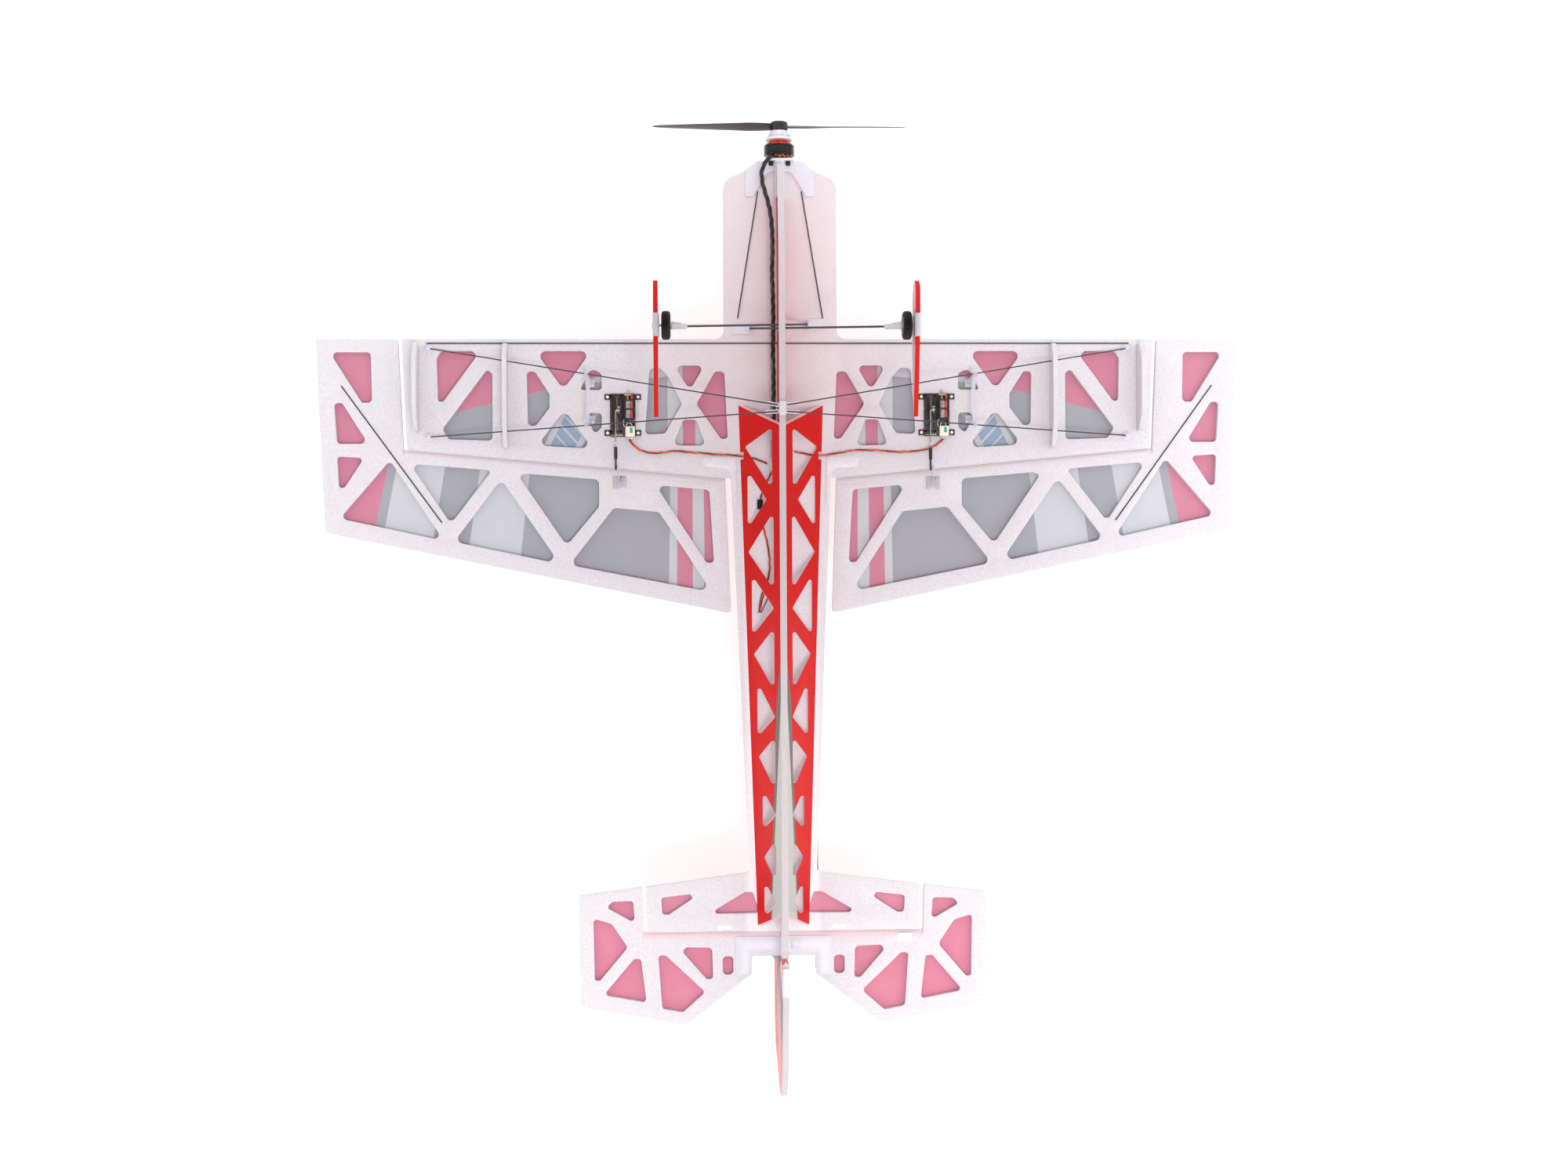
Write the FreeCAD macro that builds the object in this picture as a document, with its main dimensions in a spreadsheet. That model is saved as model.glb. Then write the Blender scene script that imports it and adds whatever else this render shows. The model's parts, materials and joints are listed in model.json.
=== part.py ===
"""A flat-foam aerobatic model aeroplane, built as its real pieces.

Frame: millimetres, +Z up, nose towards -Y, the aeroplane's left wing towards +X.
The origin is on the ground under the middle of the aeroplane's box: the tyres touch z = 0.
The wing, fuselage floor and tailplane are one level sheet of foam, skinned on top with film.
"""
import FreeCAD, Part
import math
import os

from FreeCAD import Placement, Rotation, Vector

PARTS_DIR = "parts"
SIDES = (("left", 1), ("right", -1))

DIMENSIONS = [
    ("half_span", 430, "centreline to wing tip"),
    ("foam", 6, "thickness of the plate, keel, fin and control surfaces"),
    ("thin_foam", 3.5, "thickness of the slanted belly panels"),
    ("fence_foam", 4, "thickness of the fences and wheel pants"),
    ("film", 0.4, "film skin on the upper face, with its glue"),
    ("plate_z", 142, "height of the plate's lower face"),
    ("hinge_gap", 0.5, "slit between a fixed surface and its control surface"),
    ("bevel", 5.7, "depth of the bevel along a control surface's leading edge"),
    ("wing_front", -253, "wing leading edge"),
    ("nose_front", -418, "front edge of the nose"),
    ("stab_hinge", 300, "elevator hinge line"),
    ("rudder_hinge", 320, "rudder hinge line"),
    ("thrust_z", 145, "height of the propeller axis"),
    ("wheel_x", 105, "half of the wheel track"),
    ("wheel_y", -249, "wheel axle, along the aeroplane"),
    ("wheel_radius", 12.5, "tyre's outer radius"),
    ("wheel_width", 8, "tyre's width"),
    ("axle_radius", 1.0, "axle pin"),
    ("running_gap", 0.08, "radial clearance of a turning fit"),
    ("leg_diameter", 2.0, "carbon landing-gear leg"),
    ("strut_diameter", 1.2, "carbon wing strut"),
    ("shaft_radius", 1.5, "motor shaft"),
    ("horn_radius", 14, "hinge axis to the pushrod's hole in a horn"),
    ("pushrod_diameter", 1.2, "steel pushrod"),
    ("prop_radius", 118.5, "propeller tip"),
    ("strut_x", 326, "centreline to the struts' ends on the wing"),
    ("brace_x", 180, "centreline to the strut brace"),
    ("inner_fence_x", 255, "centreline to the inner fence"),
    ("outer_fence_x", 337, "centreline to the outer fence"),
    ("pant_x", 114, "centreline to the middle of a wheel pant"),
]

os.makedirs(PARTS_DIR, exist_ok=True)
doc = FreeCAD.newDocument("foam_aeroplane")
sheet = doc.addObject("Spreadsheet::Sheet", "dims")
for row, (alias, value, note) in enumerate(DIMENSIONS, start=1):
    sheet.set(f"A{row}", note)
    sheet.set(f"B{row}", str(value))
    sheet.setAlias(f"B{row}", alias)
doc.recompute()

nodes = []


def dim(alias):
    """A driving dimension, read back from the spreadsheet."""
    return float(sheet.get(alias))


PLATE_BOTTOM = dim("plate_z")
PLATE_TOP = PLATE_BOTTOM + dim("foam")
SKIN_TOP = PLATE_TOP + dim("film")
HALF_FOAM = dim("foam") / 2
AXLE_HEIGHT = dim("wheel_radius")
KEEL_BOTTOM = PLATE_BOTTOM - 37.5
TAIL_KEEL_BOTTOM = PLATE_BOTTOM - 40


# ---------------------------------------------------------------- geometry helpers


def corner(before, point, after, radius):
    """Where a rounded corner starts and ends, and the middle of its arc."""
    back, ahead = before - point, after - point
    half = back.getAngle(ahead) / 2
    if radius <= 0 or half > math.pi / 2 - 0.01:
        return point, None, point
    cut = min(radius / math.tan(half), 0.48 * back.Length, 0.48 * ahead.Length)
    radius = cut * math.tan(half)
    back.normalize()
    ahead.normalize()
    middle = back + ahead
    middle.normalize()
    centre = point + middle * (radius / math.sin(half))
    return point + back * cut, centre - middle * radius, point + ahead * cut


def rounded_loop(points):
    """Lines and arcs of a closed outline; each point is (x, y) or (x, y, corner radius)."""
    corners = []
    places = [Vector(p[0], p[1], 0) for p in points]
    for i, point in enumerate(points):
        radius = point[2] if len(point) > 2 else 0
        corners.append(corner(places[i - 1], places[i], places[(i + 1) % len(places)], radius))
    edges = []
    for i, (start, middle, end) in enumerate(corners):
        if middle is not None:
            edges.append(Part.Arc(start, middle, end))
        following = corners[(i + 1) % len(corners)][0]
        if (following - end).Length > 1e-6:
            edges.append(Part.LineSegment(end, following))
    return edges


def mirrored(points):
    """The same outline on the other side of the first axis."""
    return [(-p[0],) + tuple(p[1:]) for p in reversed(points)]


def on_side(points, sign):
    """An outline drawn for the left side, moved to the side wanted."""
    return list(points) if sign > 0 else mirrored(points)


def softened(points, radius):
    """The same points, each with one corner radius."""
    return [(x, y, radius) for x, y in points]


def origin_plane(body, role):
    """One of a body's own origin planes."""
    return next(o for o in body.Origin.OriginFeatures if o.Role == role)


def add_sketch(body, name, plane, loops, circles=()):
    """A sketch of closed outlines and circles on one of the body's origin planes."""
    sketch = body.newObject("Sketcher::SketchObject", name)
    sketch.AttachmentSupport = [(origin_plane(body, plane), "")]
    sketch.MapMode = "FlatFace"
    for loop in loops:
        sketch.addGeometry(rounded_loop(loop), False)
    for x, y, radius in circles:
        sketch.addGeometry(Part.Circle(Vector(x, y, 0), Vector(0, 0, 1), radius), False)
    return sketch


def sheet_body(label, plane, loops, thickness, base=Vector(), symmetric=False, circles=()):
    """A flat piece cut from sheet: a padded sketch, its thickness bound to the spreadsheet."""
    body = doc.addObject("PartDesign::Body", label)
    sketch = add_sketch(body, label + "_outline", plane, loops, circles)
    pad = body.newObject("PartDesign::Pad", label + "_pad")
    pad.Profile = sketch
    pad.SideType = "Symmetric" if symmetric else "One side"
    pad.setExpression("Length", thickness)
    body.Placement = Placement(base, Rotation())
    return body


def turned_body(label, loop, centre, axis):
    """A turned piece: a profile of (along, radius) points revolved about the given axis."""
    body = doc.addObject("PartDesign::Body", label)
    sketch = add_sketch(body, label + "_profile", "XY_Plane", [loop])
    turn = body.newObject("PartDesign::Revolution", label + "_turn")
    turn.Profile = sketch
    turn.ReferenceAxis = (sketch, ["H_Axis"])
    turn.Angle = 360
    body.Placement = Placement(centre, Rotation(Vector(1, 0, 0), axis))
    return body


def rod(name, start, end, diameter):
    """A straight round rod between two points."""
    cylinder = doc.addObject("Part::Cylinder", name)
    cylinder.setExpression("Radius", f"dims.{diameter} / 2")
    cylinder.Height = (end - start).Length
    cylinder.Placement = Placement(start, Rotation(Vector(0, 0, 1), end - start))
    return cylinder


def disc(name, start, direction, radius, length):
    """A plain cylinder of a local size."""
    cylinder = doc.addObject("Part::Cylinder", name)
    cylinder.Radius = radius
    cylinder.Height = length
    cylinder.Placement = Placement(start, Rotation(Vector(0, 0, 1), direction))
    return cylinder


def block(name, low, high):
    """A box between two corners."""
    box = doc.addObject("Part::Box", name)
    box.Length = high[0] - low[0]
    box.Width = high[1] - low[1]
    box.Height = high[2] - low[2]
    box.Placement = Placement(Vector(*low), Rotation())
    return box


def fused(label, pieces):
    """One solid out of several overlapping pieces."""
    fuse = doc.addObject("Part::MultiFuse", label)
    fuse.Shapes = pieces
    return fuse


def carved(label, base, tools):
    """The base piece with the tools taken away."""
    tool = tools[0] if len(tools) == 1 else fused(label + "_tools", tools)
    cut = doc.addObject("Part::Cut", label)
    cut.Base = base
    cut.Tool = tool
    return cut


def node(label, pieces):
    """Registers a sub-part: one object, or a group of separate solids."""
    if len(pieces) == 1:
        part = pieces[0]
    else:
        part = doc.addObject("Part::Compound", label + "_group")
        part.Links = pieces
    part.Label = label
    nodes.append(part)
    return part


def shaped(label, shape):
    """A sub-part whose shape is worked out directly, for forms that no feature makes."""
    feature = doc.addObject("Part::Feature", label)
    feature.Shape = shape
    feature.Placement = Placement(Vector(), Rotation())
    return feature


# ---------------------------------------------------------------- foam plate and film

HINGE_IN = Vector(52, -123.7, 0)
HINGE_OUT = Vector(346.4, -150.6, 0)
HINGE_SLOPE = (HINGE_OUT.y - HINGE_IN.y) / (HINGE_OUT.x - HINGE_IN.x)
HALF_GAP = dim("hinge_gap") / 2
STAB_TIP_X = 127.5


def hinge_y(x):
    """The aileron hinge line at a distance from the centreline."""
    return HINGE_IN.y + HINGE_SLOPE * (x - HINGE_IN.x)


def plate_half():
    """The fixed plate's left outline, from the nose to the elevator hinge."""
    front = dim("wing_front")
    tail = dim("stab_hinge") - HALF_GAP
    return [
        (22, dim("nose_front"), 5),
        (34, -409, 14),
        (53, -401, 14),
        (53, front, 8),
        (351, front, 2),
        (346.4, hinge_y(346.4) - HALF_GAP, 1),
        (46.5, hinge_y(46.5) - HALF_GAP, 2),
        (31.5, 245, 4),
        (STAB_TIP_X + 0.5, 257.5, 2),
        (STAB_TIP_X - 1, tail),
    ]


WING_HOLES = [
    softened([(319, -235), (315, -242), (286, -242), (282, -237), (313, -195), (318, -195)], 3),
    softened([(272.6, -225), (267.7, -221), (267.7, -158.7), (308, -160), (314, -169.5)], 4),
    softened([(236, -223), (228.5, -223), (215, -202), (215, -189), (228, -172), (235, -173)], 4),
    softened([(228, -242), (176, -242), (202, -206)], 5),
    softened([(227, -154), (201, -187), (175, -151)], 5),
    [(186, -207, 3), (184, -205.6, 1), (166.5, -205.6, 3), (166.5, -221, 5), (177, -226, 6)],
    [(181, -181, 3), (177, -184.3, 2), (166.6, -184.3, 4), (166.6, -171, 4), (173, -164.5, 4)],
    softened(
        [(122, -226), (112, -226), (104, -217), (92, -192.5), (108, -165), (126.5, -164)], 4
    ),
    softened([(99, -228.5), (71, -228.5), (84.5, -205)], 4),
    softened([(61, -223), (52.5, -223), (49.5, -160), (56, -160), (78.5, -192.5)], 4),
    softened([(91, -178), (79, -178), (70, -153.5), (100.5, -154)], 4),
]
STAB_HOLES = [
    softened([(114, 267.5), (76, 263), (107, 283.5), (113, 283)], 3),
    softened([(64, 279.5), (36, 263), (28.5, 263), (22, 283), (63, 283)], 3),
]


def both_sides(loops):
    """Left outlines together with their mirror images."""
    return loops + [mirrored(loop) for loop in loops]


plate_outline = plate_half() + mirrored(plate_half())
node(
    "foam_plate",
    [
        sheet_body(
            "foam_plate",
            "XY_Plane",
            [plate_outline] + both_sides(WING_HOLES) + both_sides(STAB_HOLES),
            "dims.foam",
            Vector(0, 0, PLATE_BOTTOM),
        )
    ],
)
node(
    "plate_film",
    [
        sheet_body(
            "plate_film", "XY_Plane", [plate_outline], "dims.film", Vector(0, 0, PLATE_TOP)
        )
    ],
)

# ---------------------------------------------------------------- ailerons

AILERON_OUTLINE = [
    (52, hinge_y(52) + HALF_GAP, 1),
    (350.1, hinge_y(350.1) + HALF_GAP, 1),
    (354.7, dim("wing_front"), 2),
    (dim("half_span"), dim("wing_front"), 3),
    (422, -73.6, 4),
    (47, 3, 3),
]
AILERON_HOLES = [
    softened([(417.5, -241), (379.5, -241), (378.5, -194), (388, -194)], 4),
    softened([(413.5, -194), (406, -194), (382, -156), (411, -156)], 4),
    softened([(411, -144.5), (386, -143), (404, -115.5), (409.5, -115.5)], 3),
    softened([(362.5, -141), (313, -66), (409, -87)], 4),
    softened([(344, -137.5), (272, -131.5), (270, -129), (304, -85), (309, -85)], 4),
    softened([(260, -123), (304, -65), (206, -44)], 5),
    softened([(244, -126), (236, -128), (169.5, -122.5), (169.5, -97), (197, -64), (202, -64)], 5),
    softened([(156, -96), (114, -92), (104, -77), (65, -17), (197.5, -43)], 5),
    softened([(117, -117), (67, -112.5), (63, -44.5), (70, -44.5)], 4),
]


def bevelled(label, outline, holes, start, end):
    """A control surface: foam sheet with its holes and a bevelled leading edge."""
    body = sheet_body(label + "_sheet", "XY_Plane", [outline] + holes, "dims.foam")
    body.Placement = Placement(Vector(0, 0, PLATE_BOTTOM), Rotation())
    depth, height = dim("bevel"), dim("foam")
    along = (end - start).normalize()
    aft = Vector(0, 0, 1).cross(along)
    if aft.y < 0:
        aft = aft * -1
    foot = start + Vector(0, 0, PLATE_BOTTOM)
    corners = [
        foot + aft * -1 + Vector(0, 0, height - 0.3),
        foot + Vector(0, 0, height - 0.3),
        foot + aft * depth,
        foot + aft * depth + Vector(0, 0, -1),
        foot + aft * -1 + Vector(0, 0, -1),
    ]
    wedge_face = Part.Face(Part.makePolygon(corners + corners[:1]))
    wedge = shaped(label + "_wedge", wedge_face.extrude(end - start))
    return carved(label, body, [wedge])


def aileron_edge(x, sign):
    """A point of the aileron's leading edge."""
    return Vector(sign * x, hinge_y(x) + HALF_GAP, 0)


for side, sign in SIDES:
    outline = on_side(AILERON_OUTLINE, sign)
    holes = [on_side(loop, sign) for loop in AILERON_HOLES]
    start, end = aileron_edge(45, sign), aileron_edge(350.1, sign)
    node(f"aileron_{side}", [bevelled(f"aileron_{side}", outline, holes, start, end)])
    skin = sheet_body(
        f"aileron_film_{side}", "XY_Plane", [outline], "dims.film", Vector(0, 0, PLATE_TOP)
    )
    node(f"aileron_film_{side}", [skin])

# ---------------------------------------------------------------- elevator

ELEVATOR_HINGE = dim("stab_hinge")
ELEVATOR_OUTLINE = [
    (30, ELEVATOR_HINGE + HALF_GAP, 1),
    (130.8, ELEVATOR_HINGE + HALF_GAP, 1),
    (132, 257.8, 2),
    (190.6, 265, 3),
    (189, 368, 4),
    (91.3, 386.5, 2),
    (32, 341, 2),
    (30, 335, 3),
]
ELEVATOR_HOLES = [
    softened([(165, 276), (159, 270.5), (140, 270), (138.5, 291)], 3),
    [(177, 286, 3), (176, 344, 3), (171, 344, 2), (145, 313.5, 5), (160, 291, 8)],
    softened([(139.5, 324), (133, 324), (128, 365), (168, 357.5)], 3),
    softened([(117, 321), (110, 321), (73, 356), (94, 374.5), (113.5, 371)], 4),
    softened([(98.5, 313.5), (66.7, 314.5), (66, 344), (72, 344)], 4),
    softened([(57, 322.5), (47, 322.5), (47, 340), (57, 340)], 4),
]

elevator_halves = []
elevator_skins = []
for side, sign in SIDES:
    outline = on_side(ELEVATOR_OUTLINE, sign)
    holes = [on_side(loop, sign) for loop in ELEVATOR_HOLES]
    start = Vector(sign * 28, ELEVATOR_HINGE + HALF_GAP, 0)
    end = Vector(sign * 130.8, ELEVATOR_HINGE + HALF_GAP, 0)
    elevator_halves.append(bevelled(f"elevator_half_{side}", outline, holes, start, end))
    skin_name = f"elevator_skin_{side}"
    skin = sheet_body(skin_name, "XY_Plane", [outline], "dims.film", Vector(0, 0, PLATE_TOP))
    elevator_skins.append(skin)
node("elevator", elevator_halves)
node("elevator_film", elevator_skins)

JOINER_THICKNESS = 1.0
joiner_outline = [
    (-45.6, 304.5, 3),
    (45.6, 304.5, 3),
    (45.6, 342, 4),
    (30, 342, 4),
    (30, 322.5, 3),
    (-30, 322.5, 3),
    (-30, 342, 4),
    (-45.6, 342, 4),
]
joiner = doc.addObject("PartDesign::Body", "elevator_joiner")
joiner_sketch = add_sketch(joiner, "joiner_outline", "XY_Plane", [joiner_outline])
joiner_pad = joiner.newObject("PartDesign::Pad", "joiner_pad")
joiner_pad.Profile = joiner_sketch
joiner_pad.Length = JOINER_THICKNESS
joiner.Placement = Placement(Vector(0, 0, PLATE_BOTTOM - JOINER_THICKNESS), Rotation())
node("elevator_joiner", [joiner])

# ---------------------------------------------------------------- keel, upper profile, rudder

LEG_SLOT_Y = -261
keel_outline = [
    (-414, PLATE_BOTTOM),
    (-414, PLATE_BOTTOM - 20, 5),
    (-392, PLATE_BOTTOM - 25, 30),
    (-335, KEEL_BOTTOM, 60),
    (-170, KEEL_BOTTOM),
    (319, TAIL_KEEL_BOTTOM, 2),
    (319, PLATE_BOTTOM - 11),
    (310, PLATE_BOTTOM - 17.5),
    (296.5, PLATE_BOTTOM - 4),
    (296.5, PLATE_BOTTOM),
]
leg_slot = [
    (LEG_SLOT_Y - 5, PLATE_BOTTOM - 36.1, 0.5),
    (LEG_SLOT_Y + 5, PLATE_BOTTOM - 36.1, 0.5),
    (LEG_SLOT_Y + 5, PLATE_BOTTOM - 23.5, 0.5),
    (LEG_SLOT_Y - 5, PLATE_BOTTOM - 23.5, 0.5),
]
node(
    "lower_keel",
    [sheet_body("lower_keel", "YZ_Plane", [keel_outline, leg_slot], "dims.foam", symmetric=True)],
)

FIN_TOP = SKIN_TOP + 134
upper_outline = [
    (-414, SKIN_TOP),
    (304, SKIN_TOP),
    (319, SKIN_TOP + 15),
    (319, FIN_TOP, 2),
    (283, FIN_TOP - 4, 12),
    (206, SKIN_TOP + 36, 40),
    (60, SKIN_TOP + 34, 120),
    (-110, SKIN_TOP + 52, 90),
    (-190, SKIN_TOP + 60, 90),
    (-300, SKIN_TOP + 34, 60),
    (-414, SKIN_TOP + 14, 8),
]
canopy_hole = [
    (-150, SKIN_TOP + 12, 5),
    (-112, SKIN_TOP + 12, 5),
    (-125, SKIN_TOP + 42, 5),
    (-150, SKIN_TOP + 46, 5),
]
turtledeck_hole = [
    (-60, SKIN_TOP + 10, 5),
    (-10, SKIN_TOP + 10, 5),
    (-35, SKIN_TOP + 34, 6),
]
aft_hole = [
    (90, SKIN_TOP + 28, 4),
    (40, SKIN_TOP + 28, 4),
    (65, SKIN_TOP + 9, 5),
]
node(
    "upper_profile",
    [
        sheet_body(
            "upper_profile",
            "YZ_Plane",
            [upper_outline, canopy_hole, turtledeck_hole, aft_hole],
            "dims.foam",
            symmetric=True,
        )
    ],
)

RUDDER_FRONT = dim("rudder_hinge") + 0.3
JOINER_SWING = 31
swing_edge = dim("stab_hinge") + JOINER_SWING
rudder_outline = [
    (RUDDER_FRONT, PLATE_BOTTOM - 46, 1),
    (354, PLATE_BOTTOM - 45, 6),
    (428, PLATE_BOTTOM - 22, 30),
    (456, PLATE_BOTTOM + 6, 10),
    (456, SKIN_TOP + 40, 10),
    (430, FIN_TOP - 6, 18),
    (400, FIN_TOP, 12),
    (RUDDER_FRONT, FIN_TOP, 2),
    (RUDDER_FRONT, PLATE_TOP + 20),
    (swing_edge, PLATE_TOP + 11, 3),
    (swing_edge, PLATE_TOP - 14, 3),
    (RUDDER_FRONT, PLATE_TOP - 22),
]
rudder_holes = [
    softened([(338, 186), (370, 186), (338, 226)], 5),
    softened([(384, 196), (424, 196), (424, 232), (352, 240)], 6),
    softened([(338, 250), (410, 246), (400, 266), (338, 266)], 6),
]
rudder_sheet = sheet_body(
    "rudder_sheet", "YZ_Plane", [rudder_outline] + rudder_holes, "dims.foam", symmetric=True
)


def rudder_wedge(sign):
    """Half of the V along the rudder's leading edge, so that it can swing to this side."""
    tip = RUDDER_FRONT - 0.1
    low = PLATE_BOTTOM - 60
    corners = [
        Vector(0, tip, low),
        Vector(sign * (HALF_FOAM + 1), tip, low),
        Vector(sign * (HALF_FOAM + 1), tip + HALF_FOAM + 1.4, low),
    ]
    face = Part.Face(Part.makePolygon(corners + corners[:1]))
    return shaped("rudder_wedge", face.extrude(Vector(0, 0, 260)))


node("rudder", [carved("rudder", rudder_sheet, [rudder_wedge(1), rudder_wedge(-1)])])

node(
    "rudder_shoe",
    [
        sheet_body(
            "rudder_shoe",
            "YZ_Plane",
            [
                [
                    (326, PLATE_BOTTOM - 48.5, 1),
                    (353, PLATE_BOTTOM - 47.5, 1),
                    (353, PLATE_BOTTOM - 45.2),
                    (326, PLATE_BOTTOM - 46.0),
                ]
            ],
            "dims.foam",
            symmetric=True,
        )
    ],
)

# ---------------------------------------------------------------- slanted belly panels


def panel_section(outer_x, outer_y, inner_y, depth):
    """One end of a belly panel: a slanted strip from the plate down to the keel's side."""
    thickness = dim("thin_foam")
    width = outer_x - HALF_FOAM
    slope = math.atan2(depth, width)
    across = thickness / math.sin(slope)
    up = thickness / math.cos(slope)
    slide = (inner_y - outer_y) / depth
    corners = []
    for x, drop in ((outer_x, 0), (HALF_FOAM, depth), (HALF_FOAM, depth - up), (outer_x - across, 0)):
        corners.append(Vector(x, outer_y + slide * drop, PLATE_BOTTOM - drop))
    return corners


BELLY_FRONT = panel_section(39.5, -191, -170, 36)
BELLY_REAR = panel_section(24, 294, 279, 38.5)
BELLY_HOLES = [
    [(9.5, -168), (33.8, -152), (9.5, -111)],
    [(31.5, -130), (14.5, -102), (31.5, -76)],
    [(8.5, -91), (31, -54), (8.5, -19)],
    [(28, -33), (8.5, -2), (28, 24)],
    [(8.5, 16), (26.5, 41), (8.5, 74)],
    [(23.5, 66), (8, 98), (23.5, 118)],
    [(8, 116), (22.5, 136), (8, 166)],
    [(19.2, 166), (7.5, 188), (19.2, 204)],
    [(7.5, 210), (18.2, 229), (7.5, 251)],
    [(18, 250), (7.5, 270), (18, 285)],
]
BELLY_HOLE_ROUNDING = 2
LEAD_NOTCH_Y = (-147.4, -140.4)
LEAD_NOTCH_DEPTH = 3.2


for side, sign in SIDES:
    ends = []
    for section in (BELLY_FRONT, BELLY_REAR):
        corners = [Vector(sign * c.x, c.y, c.z) for c in section]
        ends.append(Part.makePolygon(corners + corners[:1]))
    panel = Part.makeLoft(ends, True, True)
    for hole in BELLY_HOLES:
        loop = on_side(softened(hole, BELLY_HOLE_ROUNDING), sign)
        wire = Part.Wire([edge.toShape() for edge in rounded_loop(loop)])
        wire.translate(Vector(0, 0, PLATE_BOTTOM - 60))
        panel = panel.cut(Part.Face(wire).extrude(Vector(0, 0, 59.5)))
    notch = Part.makeBox(
        20,
        LEAD_NOTCH_Y[1] - LEAD_NOTCH_Y[0],
        LEAD_NOTCH_DEPTH + 1,
        Vector(sign * 34 - 10, LEAD_NOTCH_Y[0], PLATE_BOTTOM - LEAD_NOTCH_DEPTH),
    )
    panel = panel.cut(notch)
    node(f"belly_panel_{side}", [shaped(f"belly_panel_{side}", panel)])

# ---------------------------------------------------------------- stiffeners on the plate

DOUBLER_OUTLINE = [
    (42, -143.5, 2),
    (73, -143.5, 4),
    (73, -134, 4),
    (52, -132.5, 4),
    (45.8, -127, 2),
    (44.2, -98, 1),
    (42, -98, 1),
]
doublers = []
for side, sign in SIDES:
    outline = on_side(DOUBLER_OUTLINE, sign)
    plate = sheet_body(f"root_doubler_{side}", "XY_Plane", [outline], "dims.film")
    plate.Placement = Placement(Vector(0, 0, PLATE_BOTTOM - dim("film")), Rotation())
    doublers.append(plate)
node("root_doublers", doublers)

SPAR_FRONT = dim("wing_front") + 3.4
SPAR_REAR = SPAR_FRONT + 1.2
SPAR_LOW = PLATE_BOTTOM - 0.8
SPAR_END = 328
node(
    "leading_edge_spar",
    [
        block("spar_left", (HALF_FOAM, SPAR_FRONT, SPAR_LOW), (SPAR_END, SPAR_REAR, PLATE_BOTTOM)),
        block("spar_right", (-SPAR_END, SPAR_FRONT, SPAR_LOW), (-HALF_FOAM, SPAR_REAR, PLATE_BOTTOM)),
    ],
)
NOSE_ROD_Z = PLATE_BOTTOM - dim("strut_diameter") / 2
nose_rods = []
for side, sign in SIDES:
    front = Vector(sign * 20.4, -390.7, NOSE_ROD_Z)
    rear = Vector(sign * 39.8, -272.3, NOSE_ROD_Z)
    nose_rods.append(rod(f"nose_rod_{side}", front, rear, "strut_diameter"))
node("nose_rods", nose_rods)

# ---------------------------------------------------------------- wing struts and fences

CLAMP_Y = -185
STRUT_LOW_Z = KEEL_BOTTOM - 2.5
STRUT_HIGH_Z = PLATE_BOTTOM - 2.5
STRUTS = {"front": (-188, -244), "rear": (-182, -162)}


def strut_ends(which, sign):
    """The lower and upper ends of a wing strut."""
    inner_y, outer_y = STRUTS[which]
    low = Vector(sign * 4.5, inner_y, STRUT_LOW_Z)
    high = Vector(sign * dim("strut_x"), outer_y, STRUT_HIGH_Z)
    return low, high


def strut_point(which, x, sign=1):
    """Where a wing strut is at a distance from the centreline."""
    low, high = strut_ends(which, 1)
    share = (x - low.x) / (high.x - low.x)
    point = low + (high - low) * share
    return Vector(sign * point.x, point.y, point.z)


struts = []
sleeves = []
anchors = []
for side, sign in SIDES:
    for which in STRUTS:
        low, high = strut_ends(which, sign)
        struts.append(rod(f"strut_{which}_{side}", low, high, "strut_diameter"))
        sleeve_end = strut_point(which, 16, sign)
        start = Vector(sign * 3, low.y, low.z)
        sleeves.append(disc(f"sleeve_{which}_{side}", start, sleeve_end - start, 1.1, 13))
        base = disc(
            f"anchor_base_{which}_{side}",
            Vector(high.x, high.y, PLATE_BOTTOM),
            Vector(0, 0, -1),
            4,
            1.5,
        )
        post = disc(
            f"anchor_post_{which}_{side}",
            Vector(high.x, high.y, PLATE_BOTTOM - 1.4),
            Vector(0, 0, -1),
            1.8,
            3.2,
        )
        anchor = fused(f"anchor_{which}_{side}", [base, post])
        anchors.append(carved(f"strut_anchor_{which}_{side}", anchor, [struts[-1]]))
node("wing_struts", struts)
clamp_block = block(
    "clamp_block", (-3.2, CLAMP_Y - 6.5, STRUT_LOW_Z - 2.2), (3.2, CLAMP_Y + 6.5, KEEL_BOTTOM)
)
clamp_solid = fused("strut_clamp_solid", [clamp_block] + sleeves)
node("strut_clamp", [carved("strut_clamp_bored", clamp_solid, struts)])
node("strut_anchors", anchors)


def fence_holes(x):
    """Round holes that let the struts pass through a fence."""
    holes = []
    for which in STRUTS:
        point = strut_point(which, x)
        holes.append((point.y, point.z, 1.4))
    return holes


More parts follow.
